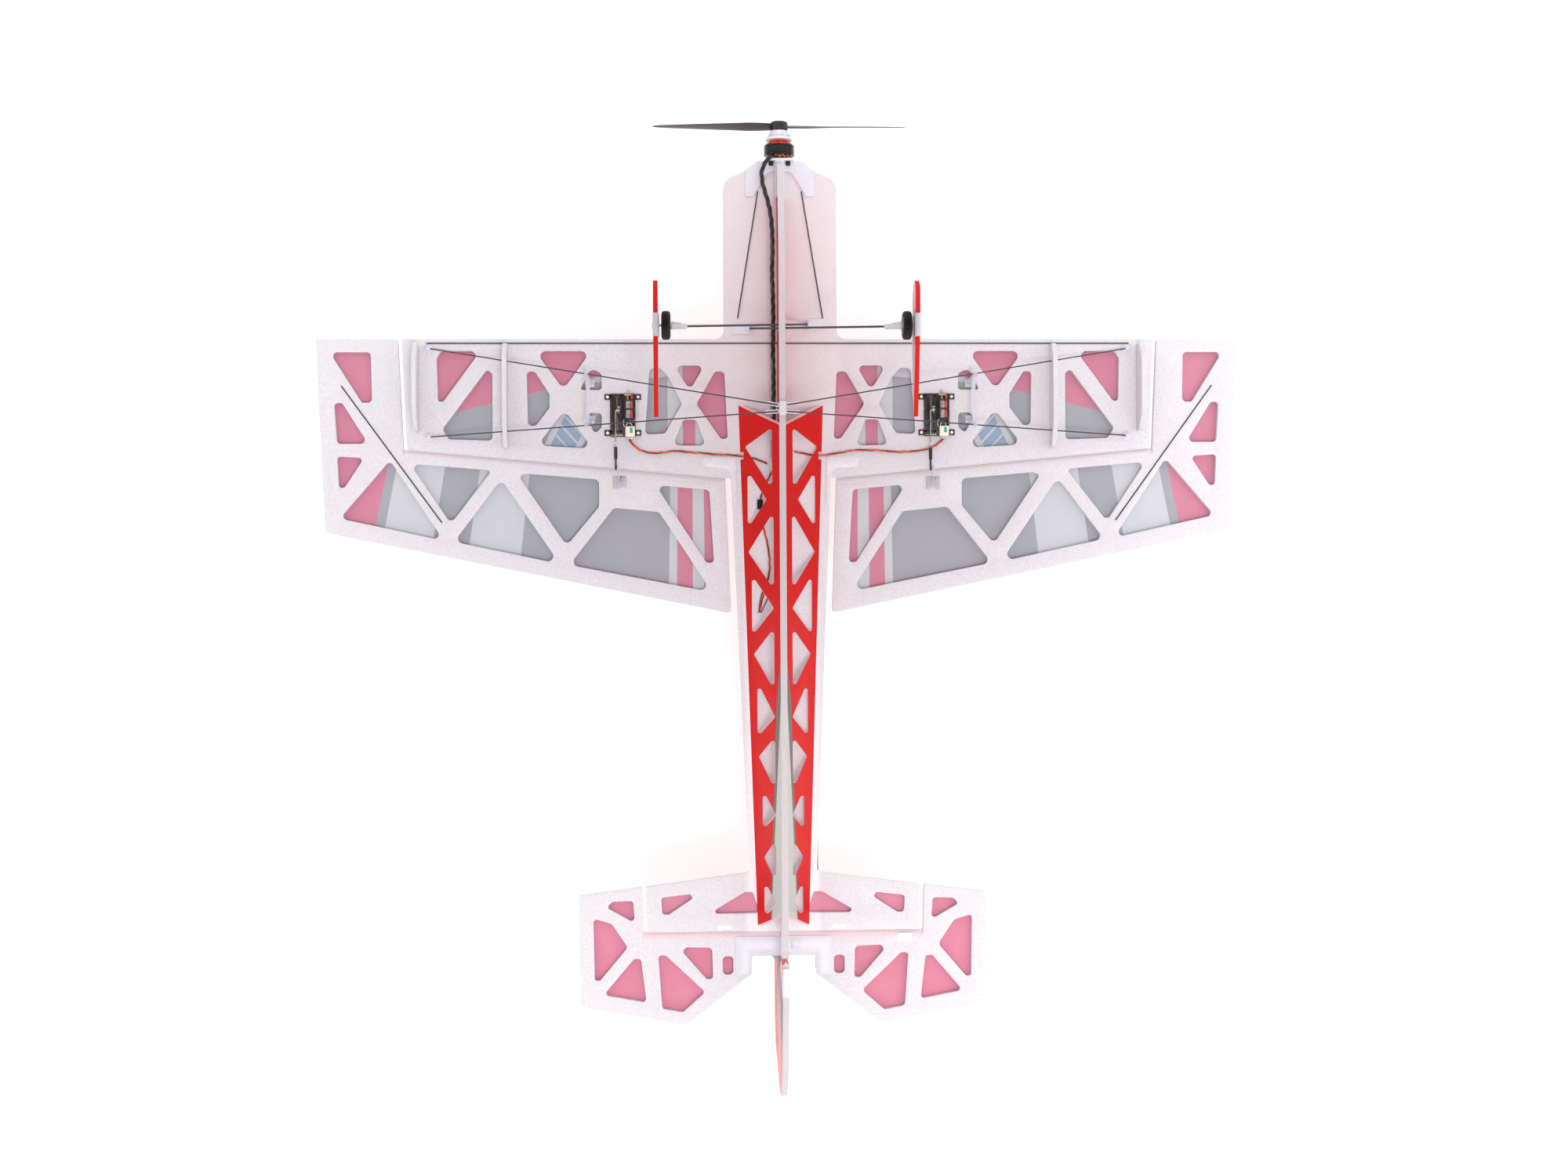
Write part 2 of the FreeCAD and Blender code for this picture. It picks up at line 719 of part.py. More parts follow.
braces = []
fences = []
for side, sign in SIDES:
    x = dim("brace_x")
    front, rear = strut_point("front", x), strut_point("rear", x)
    brace = [
        (front.y - 2, PLATE_BOTTOM, 0),
        (front.y - 2, front.z + 0.7, 1),
        (front.y + 6, front.z + 0.7, 2),
        (front.y + 12, PLATE_BOTTOM - 8, 6),
        (rear.y - 12, PLATE_BOTTOM - 8, 6),
        (rear.y - 6, rear.z + 0.7, 2),
        (rear.y + 2, rear.z + 0.7, 1),
        (rear.y + 2, PLATE_BOTTOM, 0),
    ]
    body = doc.addObject("PartDesign::Body", f"strut_brace_{side}")
    sketch = add_sketch(body, f"brace_outline_{side}", "YZ_Plane", [brace])
    pad = body.newObject("PartDesign::Pad", f"brace_pad_{side}")
    pad.Profile = sketch
    pad.SideType = "Symmetric"
    pad.Length = 1.5
    body.Placement = Placement(Vector(sign * x, 0, 0), Rotation())
    braces.append(body)

    x = dim("inner_fence_x")
    inner = [
        (SPAR_REAR + 0.4, PLATE_BOTTOM),
        (SPAR_REAR + 0.4, PLATE_BOTTOM - 12, 5),
        (-236, PLATE_BOTTOM - 21, 10),
        (-172, PLATE_BOTTOM - 21, 10),
        (-151, PLATE_BOTTOM - 10, 6),
        (-151, PLATE_BOTTOM),
    ]
    name = f"inner_fence_{side}"
    place = Vector(sign * x, 0, 0)
    fences.append(
        sheet_body(name, "YZ_Plane", [inner], "dims.fence_foam", place, True, fence_holes(x))
    )
    x = dim("outer_fence_x")
    outer = [
        (-247, PLATE_BOTTOM),
        (-249, PLATE_BOTTOM - 14, 5),
        (-234, PLATE_BOTTOM - 25, 12),
        (-184, PLATE_BOTTOM - 25, 12),
        (-167, PLATE_BOTTOM - 12, 6),
        (-167, PLATE_BOTTOM),
    ]
    place = Vector(sign * x, 0, 0)
    fences.append(
        sheet_body(f"outer_fence_{side}", "YZ_Plane", [outer], "dims.fence_foam", place, True)
    )
node("strut_braces", braces)
node("wing_fences", fences)

# ---------------------------------------------------------------- motor and propeller

FORWARD = Vector(0, -1, 0)
NOSE_Y = dim("nose_front")
THRUST = dim("thrust_z")


def on_thrust_line(y):
    """A point of the propeller's axis."""
    return Vector(0, y, THRUST)


FLANGE_THICKNESS = 1.5
FLANGE_OUTLINE = [
    (8.5, NOSE_Y - 1),
    (21, NOSE_Y - 1),
    (32, NOSE_Y + 8, 2),
    (32, NOSE_Y + 32, 1),
    (24, NOSE_Y + 32, 1),
    (21.8, NOSE_Y + 27),
    (11.5, NOSE_Y + 11, 2),
    (8.5, NOSE_Y + 9),
]
mount_pieces = [
    block("mount_face", (-13, NOSE_Y - 2.2, THRUST - 13), (13, NOSE_Y, THRUST + 13)),
]
for side, sign in SIDES:
    flange = doc.addObject("PartDesign::Body", f"mount_flange_{side}")
    flange_sketch = add_sketch(flange, f"flange_{side}", "XY_Plane", [on_side(FLANGE_OUTLINE, sign)])
    flange_pad = flange.newObject("PartDesign::Pad", f"flange_pad_{side}")
    flange_pad.Profile = flange_sketch
    flange_pad.Length = FLANGE_THICKNESS
    flange.Placement = Placement(Vector(0, 0, PLATE_BOTTOM - FLANGE_THICKNESS), Rotation())
    web_sides = sorted((sign * HALF_FOAM, sign * (HALF_FOAM + 1.3)))
    web_low = (web_sides[0], NOSE_Y - 1, THRUST - 13)
    web_high = (web_sides[1], NOSE_Y + 35, PLATE_BOTTOM)
    bridge_sides = sorted((sign * HALF_FOAM, sign * 9))
    bridge_low = (bridge_sides[0], NOSE_Y - 1, PLATE_BOTTOM - FLANGE_THICKNESS)
    bridge_high = (bridge_sides[1], NOSE_Y + 9, PLATE_BOTTOM)
    web = block(f"mount_web_{side}", web_low, web_high)
    bridge = block(f"mount_bridge_{side}", bridge_low, bridge_high)
    mount_pieces += [flange, web, bridge]
mount_solid = fused("motor_mount_solid", mount_pieces)
mount_bore = disc("mount_bore", on_thrust_line(NOSE_Y + 1), FORWARD, 4, 5)
node("motor_mount", [carved("motor_mount_bored", mount_solid, [mount_bore])])

MOUNT_SCREW_OFFSET = 8
screws = []
for x in (-MOUNT_SCREW_OFFSET, MOUNT_SCREW_OFFSET):
    for z in (-MOUNT_SCREW_OFFSET, MOUNT_SCREW_OFFSET):
        place = Vector(x, NOSE_Y, THRUST + z)
        screws.append(disc(f"mount_screw_{len(screws)}", place, FORWARD * -1, 2.2, 4.2))
node("mount_screws", screws)

BORE_RADIUS = dim("shaft_radius") + dim("running_gap")
stator_profile = [
    (2.3, BORE_RADIUS),
    (15.5, BORE_RADIUS),
    (15.5, 11),
    (5.5, 11),
    (5.5, 5),
    (4, 6.2),
    (2.3, 6.2),
]
motor_base = on_thrust_line(NOSE_Y)
node("motor_stator", [turned_body("motor_stator", stator_profile, motor_base, FORWARD)])

SHAFT_R = dim("shaft_radius")
bell_profile = [
    (1.0, 0),
    (38, 0),
    (38, SHAFT_R),
    (20.5, SHAFT_R),
    (20.5, 9),
    (18.5, 12.6, 1),
    (15.8, 14.15, 0.8),
    (5, 14.15),
    (5, 12.4),
    (16.5, 12.4),
    (16.5, SHAFT_R),
    (1.0, SHAFT_R),
]
node("motor_rotor", [turned_body("motor_rotor", bell_profile, motor_base, FORWARD)])
adapter_profile = [
    (20.5, SHAFT_R),
    (29.5, SHAFT_R),
    (29.5, 9.5, 1),
    (21.5, 12.5, 1),
    (20.5, 12.5),
]
node("prop_adapter", [turned_body("prop_adapter", adapter_profile, motor_base, FORWARD)])

PROP_STATION = 29.5
PROP_THICKNESS = 8.5
PROP_MIDDLE = NOSE_Y - PROP_STATION - PROP_THICKNESS / 2
PROP_PITCH = 75
BLADE_STATIONS = [6, 18, 32, 50, 72, 94, 110, dim("prop_radius")]
BLADE_SECTION = [
    (-0.5, 0),
    (-0.25, 0.42),
    (0, 0.5),
    (0.3, 0.25),
    (0.5, 0),
    (0.25, -0.25),
    (0, -0.4),
    (-0.3, -0.3),
]


def blade_section(radius, sign):
    """A closed aerofoil-like outline of the blade at a radius, set at its pitch angle."""
    share = radius / dim("prop_radius")
    chord = 12 * math.sin(math.pi * min(1, 0.18 + 0.75 * share)) ** 0.8 + 2.5
    thickness = 2.6 - 1.8 * share
    pitch = math.atan2(PROP_PITCH / (2 * math.pi), max(radius, 14))
    points = []
    for along, upward in BLADE_SECTION:
        flat, height = along * chord, upward * thickness
        z = sign * (flat * math.cos(pitch) - height * math.sin(pitch))
        y = -flat * math.sin(pitch) - height * math.cos(pitch)
        points.append(Vector(sign * radius, PROP_MIDDLE + y, THRUST + z))
    return Part.makePolygon(points + points[:1])


blades = []
for sign in (1, -1):
    sections = [blade_section(radius, sign) for radius in BLADE_STATIONS]
    blades.append(Part.makeLoft(sections, True, True))
hub_back = on_thrust_line(NOSE_Y - PROP_STATION)
hub = Part.makeCylinder(8.25, PROP_THICKNESS, hub_back, FORWARD)
propeller = hub.fuse(blades)
bore = Part.makeCylinder(SHAFT_R, PROP_THICKNESS + 2, hub_back - FORWARD, FORWARD)
inside = Part.makeCylinder(200, PROP_THICKNESS, hub_back, FORWARD)
node("propeller", [shaped("propeller", propeller.common(inside).cut(bore).removeSplitter())])

# ---------------------------------------------------------------- landing gear

WHEEL_X = dim("wheel_x")
WHEEL_Y = dim("wheel_y")
HALF_WIDTH = dim("wheel_width") / 2
HUB_IN, HUB_OUT = 91.5, 100.4
LEG_TOPS = {"left": (-31, -262.5), "right": (27.5, -266.5)}
LEG_TOP_Z = PLATE_BOTTOM - 2.2


def axle_point(x, sign):
    """A point of the wheel axle."""
    return Vector(sign * x, WHEEL_Y, AXLE_HEIGHT)


def leg_ends(side, sign):
    """A leg runs from the wheel hub up through the keel to the plate's far side."""
    top_x, top_y = LEG_TOPS[side]
    return Vector(top_x, top_y, LEG_TOP_Z), Vector(sign * 93.5, WHEEL_Y - 0.5, AXLE_HEIGHT + 10)


legs = []
leg_sockets = []
for side, sign in SIDES:
    top, foot = leg_ends(side, sign)
    legs.append(rod(f"leg_{side}", top, foot, "leg_diameter"))
    base_ends = sorted((top.x + sign * 3, top.x - sign * 14))
    base = block(
        f"leg_base_{side}",
        (base_ends[0], top.y - 5, PLATE_BOTTOM - 1.2),
        (base_ends[1], top.y + 5, PLATE_BOTTOM),
    )
    drum = disc(f"leg_drum_{side}", top, foot - top, 2.2, 4)
    ceiling = block(
        f"leg_ceiling_{side}",
        (top.x - 30, top.y - 30, PLATE_BOTTOM),
        (top.x + 30, top.y + 30, PLATE_BOTTOM + 20),
    )
    solid = fused(f"leg_socket_solid_{side}", [base, drum])
    leg_sockets.append(carved(f"leg_socket_{side}", solid, [legs[-1], ceiling]))
node("gear_legs", legs)
node("gear_sockets", leg_sockets)

TYRE_BORE = 8
PIN_R = dim("axle_radius")
axle_pins = []
axle_hubs = []
pants = []
pant_clamps = []
for (side, sign), leg in zip(SIDES, legs):
    outward = Vector(sign, 0, 0)
    centre = axle_point(WHEEL_X, sign)
    tyre_profile = [
        (-HALF_WIDTH, TYRE_BORE),
        (HALF_WIDTH, TYRE_BORE),
        (HALF_WIDTH, AXLE_HEIGHT, 2.6),
        (-HALF_WIDTH, AXLE_HEIGHT, 2.6),
    ]
    node(f"tyre_{side}", [turned_body(f"tyre_{side}", tyre_profile, centre, outward)])
    bore_radius = PIN_R + dim("running_gap")
    rim_profile = [
        (-HALF_WIDTH, bore_radius),
        (HALF_WIDTH, bore_radius),
        (HALF_WIDTH, 3),
        (1, 3),
        (1, 6.8),
        (HALF_WIDTH - 0.4, 6.8),
        (HALF_WIDTH - 0.4, TYRE_BORE),
        (0.4 - HALF_WIDTH, TYRE_BORE),
        (0.4 - HALF_WIDTH, 6.8),
        (-1, 6.8),
        (-1, 3),
        (-HALF_WIDTH, 3),
    ]
    node(f"wheel_rim_{side}", [turned_body(f"wheel_rim_{side}", rim_profile, centre, outward)])
    pin = disc(f"axle_pin_{side}", axle_point(HUB_OUT - 4, sign), outward, PIN_R, 16.5)
    axle_pins.append(pin)
    top, foot = leg_ends(side, sign)
    cone_profile = [
        (HUB_IN - WHEEL_X, 0),
        (HUB_OUT - WHEEL_X, 0),
        (HUB_OUT - WHEEL_X, 3.4, 0.6),
        (HUB_OUT - WHEEL_X - 1.6, 3.4, 0.6),
        (HUB_IN - WHEEL_X, 2.4, 0.6),
    ]
    cone = turned_body(f"hub_cone_{side}", cone_profile, centre, outward)
    inward = (top - foot).normalize()
    socket = disc(f"hub_socket_{side}", foot - inward * 9.5, inward, 2.5, 17)
    hub_solid = fused(f"hub_solid_{side}", [cone, socket])
    axle_hubs.append(carved(f"axle_hub_{side}", hub_solid, [pin, leg]))

    pant = [
        (-290, AXLE_HEIGHT + 2, 8),
        (-282, AXLE_HEIGHT - 9, 12),
        (-252, AXLE_HEIGHT - 8.5, 20),
        (-170, AXLE_HEIGHT + 14, 3),
        (-172, AXLE_HEIGHT + 19, 3),
        (-240, AXLE_HEIGHT + 24, 40),
        (-280, AXLE_HEIGHT + 18, 18),
    ]
    place = Vector(sign * dim("pant_x"), 0, 0)
    pin_hole = [(WHEEL_Y, AXLE_HEIGHT, 3.6)]
    pants.append(
        sheet_body(
            f"wheel_pant_{side}", "YZ_Plane", [pant], "dims.fence_foam", place, True, pin_hole
        )
    )
    inner_face = dim("pant_x") - dim("fence_foam") / 2
    clamp_profile = [
        (inner_face - 1.2 - WHEEL_X, PIN_R),
        (inner_face + 4.2 - WHEEL_X, PIN_R),
        (inner_face + 4.2 - WHEEL_X, 3.5),
        (inner_face - WHEEL_X, 3.5),
        (inner_face - WHEEL_X, 9.5),
        (inner_face - 1.2 - WHEEL_X, 9.5),
    ]
    pant_clamps.append(turned_body(f"pant_clamp_{side}", clamp_profile, centre, outward))
node("axle_pins", axle_pins)
node("axle_hubs", axle_hubs)
node("wheel_pants", pants)
node("pant_clamps", pant_clamps)

# ---------------------------------------------------------------- control linkages

HORN = dim("horn_radius")
LINK_RADIUS = 1.6
HORN_THICKNESS = 1.2
RAIL_HEIGHT = 3.2
NUT_LOW, NUT_HIGH = 3.8, 5.0
ROD_GAP = 0.35


def servo_body(name, centre_x, centre_y, base_z, up):
    """A linear servo: a circuit board with ears, a guide rail block and two motor cans."""
    pieces = []

    def layer(tag, x0, x1, y0, y1, low, high):
        bottom, top = sorted((base_z + up * low, base_z + up * high))
        low_corner = (centre_x + x0, centre_y + y0, bottom)
        high_corner = (centre_x + x1, centre_y + y1, top)
        pieces.append(block(f"{name}_{tag}", low_corner, high_corner))

    layer("board", -12.5, 12.5, -20, 20, 0, 1.6)
    layer("ears_front", -17, 17, -19.5, -14, 0, 1.6)
    layer("ears_rear", -17, 17, 13.5, 19, 0, 1.6)
    layer("rail", -11.5, -0.5, -19, 17, 1.5, RAIL_HEIGHT)
    layer("motor_bay", 1.0, 11.5, -19, 6, 1.5, 7.5)
    layer("connector", 2.5, 11, 10.5, 20, 1.5, 5.5)
    return fused(f"{name}_solid", pieces)


def aileron_carriage(name, rod_x, y):
    """The servo's sliding nut, beside the pushrod, with the post that the pushrod hooks into."""
    nut = block(
        f"{name}_nut",
        (rod_x + 1.8, y - 5, PLATE_BOTTOM - NUT_HIGH),
        (rod_x + 6.5, y + 5, PLATE_BOTTOM - NUT_LOW),
    )
    post = block(
        f"{name}_post",
        (rod_x + 2.0, y - 1.6, PLATE_BOTTOM - 9.5),
        (rod_x + 3.6, y + 1.6, PLATE_BOTTOM - NUT_HIGH + 0.1),
    )
    return fused(f"{name}_solid", [nut, post])


def pushrod(name, rod_x, start_y, pivot_y, z):
    """A steel wire with the thicker plastic link at its horn end."""
    wire = rod(f"{name}_wire", Vector(rod_x, start_y, z), Vector(rod_x, pivot_y - 17, z),
               "pushrod_diameter")
    link = disc(f"{name}_link", Vector(rod_x, pivot_y - 19, z), Vector(0, 1, 0), LINK_RADIUS, 21)
    return fused(f"{name}_solid", [wire, link])


def horn_blade(name, corners, across):
    """A flat horn cut from sheet: its outline, given its thickness in one direction."""
    face = Part.Face(Part.makePolygon(corners + corners[:1]))
    return shaped(name, face.extrude(across * HORN_THICKNESS))


AILERON_SERVO_X = {"left": 146, "right": -147}
AILERON_SERVO_Y = -182
AILERON_ROD_X = {"left": 139.5, "right": -153.5}
AILERON_ROD_Z = PLATE_TOP - HORN
AILERON_CARRIAGE_Y = -186

servos = []
for side, sign in SIDES:
    x = AILERON_SERVO_X[side]
    servos.append(servo_body(f"aileron_servo_{side}", x, AILERON_SERVO_Y, PLATE_BOTTOM, -1))
    rod_x = AILERON_ROD_X[side]
    carriage_name = f"servo_carriage_{side}"
    node(carriage_name, [aileron_carriage(carriage_name, rod_x, AILERON_CARRIAGE_Y)])
    pivot_y = hinge_y(abs(rod_x))
    rod_name = f"aileron_pushrod_{side}"
    node(rod_name, [pushrod(rod_name, rod_x, AILERON_CARRIAGE_Y, pivot_y, AILERON_ROD_Z)])
    base = block(
        f"horn_base_{side}",
        (rod_x - 3.5, pivot_y + 7.5, PLATE_BOTTOM - 1),
        (rod_x + 9.5, pivot_y + 19.5, PLATE_BOTTOM),
    )
    horn_x = rod_x + LINK_RADIUS + ROD_GAP
    blade = horn_blade(
        f"horn_blade_{side}",
        [
            Vector(horn_x, pivot_y + 8.5, PLATE_BOTTOM - 0.5),
            Vector(horn_x, pivot_y - 2.2, AILERON_ROD_Z + 1.2),
            Vector(horn_x, pivot_y - 2.2, AILERON_ROD_Z - 2.2),
            Vector(horn_x, pivot_y + 1.8, AILERON_ROD_Z - 2.2),
            Vector(horn_x, pivot_y + 17, PLATE_BOTTOM - 0.5),
        ],
        Vector(1, 0, 0),
    )
    node(f"aileron_horn_{side}", [fused(f"aileron_horn_solid_{side}", [base, blade])])

node("aileron_servos", servos)

# the elevator's servo, carriage, pushrod and horn, on top of the tail
ELEVATOR_ROD_X = 33.6
TAIL_SERVO_Y = 168
ELEVATOR_SERVO_X = 20.5
ELEVATOR_ROD_Z = PLATE_TOP + HORN
node("elevator_servo", [servo_body("elevator_servo", ELEVATOR_SERVO_X, TAIL_SERVO_Y, SKIN_TOP, 1)])
nut = block(
    "elevator_nut",
    (ELEVATOR_SERVO_X - 9, TAIL_SERVO_Y - 5, SKIN_TOP + NUT_LOW),
    (ELEVATOR_SERVO_X - 3, TAIL_SERVO_Y + 5, SKIN_TOP + NUT_HIGH),
)
post = block(
    "elevator_post",
    (ELEVATOR_SERVO_X - 7, TAIL_SERVO_Y - 2, SKIN_TOP + NUT_HIGH - 0.2),
    (ELEVATOR_SERVO_X - 4, TAIL_SERVO_Y + 2, SKIN_TOP + 12),
)
arm = block(
    "elevator_arm",
    (ELEVATOR_SERVO_X - 7, TAIL_SERVO_Y - 2, SKIN_TOP + 9.5),
    (ELEVATOR_ROD_X - dim("pushrod_diameter") / 2 - ROD_GAP, TAIL_SERVO_Y + 2, SKIN_TOP + 15),
)
node("elevator_carriage", [fused("elevator_carriage_solid", [nut, post, arm])])
node(
    "elevator_pushrod",
    [pushrod("elevator_pushrod", ELEVATOR_ROD_X, TAIL_SERVO_Y, ELEVATOR_HINGE, ELEVATOR_ROD_Z)],
)
horn_x = ELEVATOR_ROD_X + LINK_RADIUS + ROD_GAP
elevator_base = block(
    "elevator_horn_base",
    (ELEVATOR_ROD_X - 2, ELEVATOR_HINGE + 3, SKIN_TOP),
    (ELEVATOR_ROD_X + 9, ELEVATOR_HINGE + 17, SKIN_TOP + 1),
)
elevator_blade = horn_blade(
    "elevator_horn_blade",
    [
        Vector(horn_x, ELEVATOR_HINGE + 4, SKIN_TOP + 0.5),
        Vector(horn_x, ELEVATOR_HINGE - 2.2, ELEVATOR_ROD_Z - 1.2),
        Vector(horn_x, ELEVATOR_HINGE - 2.2, ELEVATOR_ROD_Z + 2.2),
        Vector(horn_x, ELEVATOR_HINGE + 1.8, ELEVATOR_ROD_Z + 2.2),
        Vector(horn_x, ELEVATOR_HINGE + 14, SKIN_TOP + 0.5),
    ],
    Vector(1, 0, 0),
)
node("elevator_horn", [fused("elevator_horn_solid", [elevator_base, elevator_blade])])

# the rudder's servo stands against the right side of the upper profile
RUDDER_SERVO_Y = 168
RUDDER_ROD_Z = SKIN_TOP + 22
RUDDER_ROD_X = -HORN - 1
FIN_SIDE = -HALF_FOAM
RUDDER_HINGE = dim("rudder_hinge")
servo_blocks = [
    block("rudder_board", (FIN_SIDE - 1.6, RUDDER_SERVO_Y - 20, SKIN_TOP + 4),
          (FIN_SIDE, RUDDER_SERVO_Y + 20, SKIN_TOP + 28)),
    block("rudder_rail", (FIN_SIDE - RAIL_HEIGHT, RUDDER_SERVO_Y - 19, SKIN_TOP + 16),
          (FIN_SIDE - 1.5, RUDDER_SERVO_Y + 17, SKIN_TOP + 27)),
    block("rudder_motor_bay", (FIN_SIDE - 7.5, RUDDER_SERVO_Y - 19, SKIN_TOP + 4.5),
          (FIN_SIDE - 1.5, RUDDER_SERVO_Y + 6, SKIN_TOP + 14.5)),
]
node("rudder_servo", [fused("rudder_servo_solid", servo_blocks)])
rudder_nut = block(
    "rudder_nut",
    (FIN_SIDE - NUT_HIGH, RUDDER_SERVO_Y - 5, SKIN_TOP + 17),
    (FIN_SIDE - NUT_LOW, RUDDER_SERVO_Y + 5, SKIN_TOP + 25),
)
rudder_post = block(
    "rudder_post",
    (RUDDER_ROD_X - 2, RUDDER_SERVO_Y - 1.6, RUDDER_ROD_Z + dim("pushrod_diameter") / 2 + ROD_GAP),
    (FIN_SIDE - NUT_HIGH + 0.5, RUDDER_SERVO_Y + 1.6, SKIN_TOP + 24.6),
)
node("rudder_carriage", [fused("rudder_carriage_solid", [rudder_nut, rudder_post])])
node(
    "rudder_pushrod",
    [pushrod("rudder_pushrod", RUDDER_ROD_X, RUDDER_SERVO_Y, RUDDER_HINGE, RUDDER_ROD_Z)],
)
horn_z = RUDDER_ROD_Z + LINK_RADIUS + ROD_GAP
rudder_blade = horn_blade(
    "rudder_horn_blade",
    [
        Vector(FIN_SIDE, RUDDER_HINGE + 4.5, horn_z),
        Vector(RUDDER_ROD_X + 1, RUDDER_HINGE - 2.2, horn_z),
        Vector(RUDDER_ROD_X - 2.2, RUDDER_HINGE - 2.2, horn_z),
        Vector(RUDDER_ROD_X - 2.2, RUDDER_HINGE + 2, horn_z),
        Vector(FIN_SIDE, RUDDER_HINGE + 15, horn_z),
    ],
    Vector(0, 0, 1),
)
rudder_foot = block(
    "rudder_horn_foot",
    (FIN_SIDE - 1, RUDDER_HINGE + 4.5, horn_z - 5),
    (FIN_SIDE, RUDDER_HINGE + 17, horn_z + 5),
)
node("rudder_horn", [fused("rudder_horn_solid", [rudder_blade, rudder_foot])])

# ---------------------------------------------------------------- power and radio

# the speed controller and the receiver are stuck to the keel's two sides, inside the belly
node("speed_controller", [block("speed_controller", (-10, -165, 118), (-HALF_FOAM, -135, 138))])
node("receiver", [block("receiver", (HALF_FOAM, -160, 122), (10, -134, 140))])
BATTERY_FRONT = -268
node(
    "battery",
    [block("battery", (4, BATTERY_FRONT, SKIN_TOP), (22, BATTERY_FRONT + 58, SKIN_TOP + 30))],
)
STRAP_Y = BATTERY_FRONT + 22
strap_outer = block("strap_outer", (3, STRAP_Y, SKIN_TOP), (23, STRAP_Y + 14, SKIN_TOP + 31))
strap_inner = block("strap_inner", (4, STRAP_Y - 1, SKIN_TOP - 1), (22, STRAP_Y + 15, SKIN_TOP + 30))
node("battery_strap", [carved("battery_strap_band", strap_outer, [strap_inner])])

# ---------------------------------------------------------------- wires held along the airframe


def wire_shape(points, diameter):
    """A wire along straight runs joined by arcs as large as the runs allow."""
    edges = []
    last = points[0]
    for i in range(1, len(points) - 1):
        back = points[i - 1] - points[i]
        ahead = points[i + 1] - points[i]
        turn = math.pi - back.getAngle(ahead)
        cut = 0.45 * min(back.Length, ahead.Length)
        radius = cut / math.tan(turn / 2)
        start, middle, end = corner(points[i - 1], points[i], points[i + 1], radius)
        edges.append(Part.LineSegment(last, start).toShape())
        edges.append(Part.Arc(start, middle, end).toShape())
        last = end
    edges.append(Part.LineSegment(last, points[-1]).toShape())
    path = Part.Wire(edges)
    circle = Part.Circle(points[0], points[1] - points[0], diameter / 2)
    return path.makePipeShell([Part.Wire([circle.toShape()])], True, True)


def wire_piece(label, points, diameter):
    """A held wire along its route."""
    return shaped(label, wire_shape([Vector(*p) for p in points], diameter))


LEAD_DIAMETER = 2.2
LEAD_Z = PLATE_BOTTOM - LEAD_DIAMETER / 2 - 0.1
lead_right = wire_piece(
    "servo_lead_right",
    [
        (-142, -161.2, PLATE_BOTTOM - 3.6),
        (-138.5, -154.5, LEAD_Z - 0.9),
        (-127, -147, LEAD_Z),
        (-114, -146.5, LEAD_Z - 0.2),
        (-98, -149, LEAD_Z),
        (-82, -147, LEAD_Z - 0.3),
        (-62, -145.5, LEAD_Z),
        (-48, -144.5, LEAD_Z - 0.4),
        (-38, -143.8, LEAD_Z - 0.3),
        (-26, -142, LEAD_Z - 1.4),
        (-13, -136.5, LEAD_Z - 3),
    ],
    LEAD_DIAMETER,
)
lead_left = wire_piece(
    "servo_lead_left",
    [
        (153, -161, PLATE_BOTTOM - 3.4),
        (149, -155.5, LEAD_Z - 0.5),
        (140, -150.5, LEAD_Z),
        (122, -147, LEAD_Z - 0.2),
        (104, -147.5, LEAD_Z),
        (88, -149, LEAD_Z - 0.3),
        (70, -149.2, LEAD_Z),
        (54, -146.5, LEAD_Z - 0.4),
        (40, -143.8, LEAD_Z - 0.3),
        (28, -144.2, LEAD_Z - 1.2),
        (12, -147.5, LEAD_Z - 3),
    ],
    LEAD_DIAMETER,
)
lead_aft = wire_piece(
    "servo_lead_aft",
    [
        (-6, -133.5, LEAD_Z - 6.8),
        (-10, -126, LEAD_Z - 3.8),
        (-16.5, -114, LEAD_Z - 2.3),
        (-19.5, -104, LEAD_Z - 1.8),
        (-20, -94, LEAD_Z - 1.8),
        (-17.5, -80, LEAD_Z - 1.3),
        (-13, -62, LEAD_Z - 1),
        (-10.5, -44, LEAD_Z - 1),
        (-13, -26, LEAD_Z - 1.3),
        (-19, -10, LEAD_Z - 1.8),
        (-21, 4, LEAD_Z - 2.2),
    ],
    LEAD_DIAMETER,
)
node("servo_leads", [lead_right, lead_left, lead_aft])
power_leads = wire_piece(
    "power_leads",
    [
        (-9, -420.5, 128.5),
        (-13, -416, 127),
        (-17.5, -407, 125),
        (-16.5, -394, 124),
        (-12, -380, 122),
        (-8.4, -362, 121),
        (-7.4, -338, 122),
        (-8.3, -312, 122.5),
        (-7.3, -288, 124),
        (-7.0, -262, 125.5),
        (-7.8, -238, 125),
        (-7.0, -212, 126),
        (-7.4, -188, 127),
        (-6.8, -165.2, 128),
    ],
    4.4,
)
node("power_leads", [power_leads])

# ---------------------------------------------------------------- checks and export

doc.recompute()
for item in doc.Objects:
    if "Invalid" in item.State or "Error" in item.State:
        raise RuntimeError(f"{item.Label} failed: {item.State}")
for part in nodes:
    if part.Shape.isNull() or not part.Shape.isValid() or part.Shape.Volume <= 0:
        raise RuntimeError(f"{part.Label} has no valid shape")
for part in nodes:
    part.Shape.exportStep(os.path.join(PARTS_DIR, part.Label + ".step"))
print(len(nodes), "sub-parts written")
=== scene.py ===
"""Looks of the foam aeroplane: materials, detailed replacements, light and camera."""
import json
import random
from math import atan2, cos, pi, radians, sin, sqrt

import bmesh
import bpy
from mathutils import Matrix, Vector


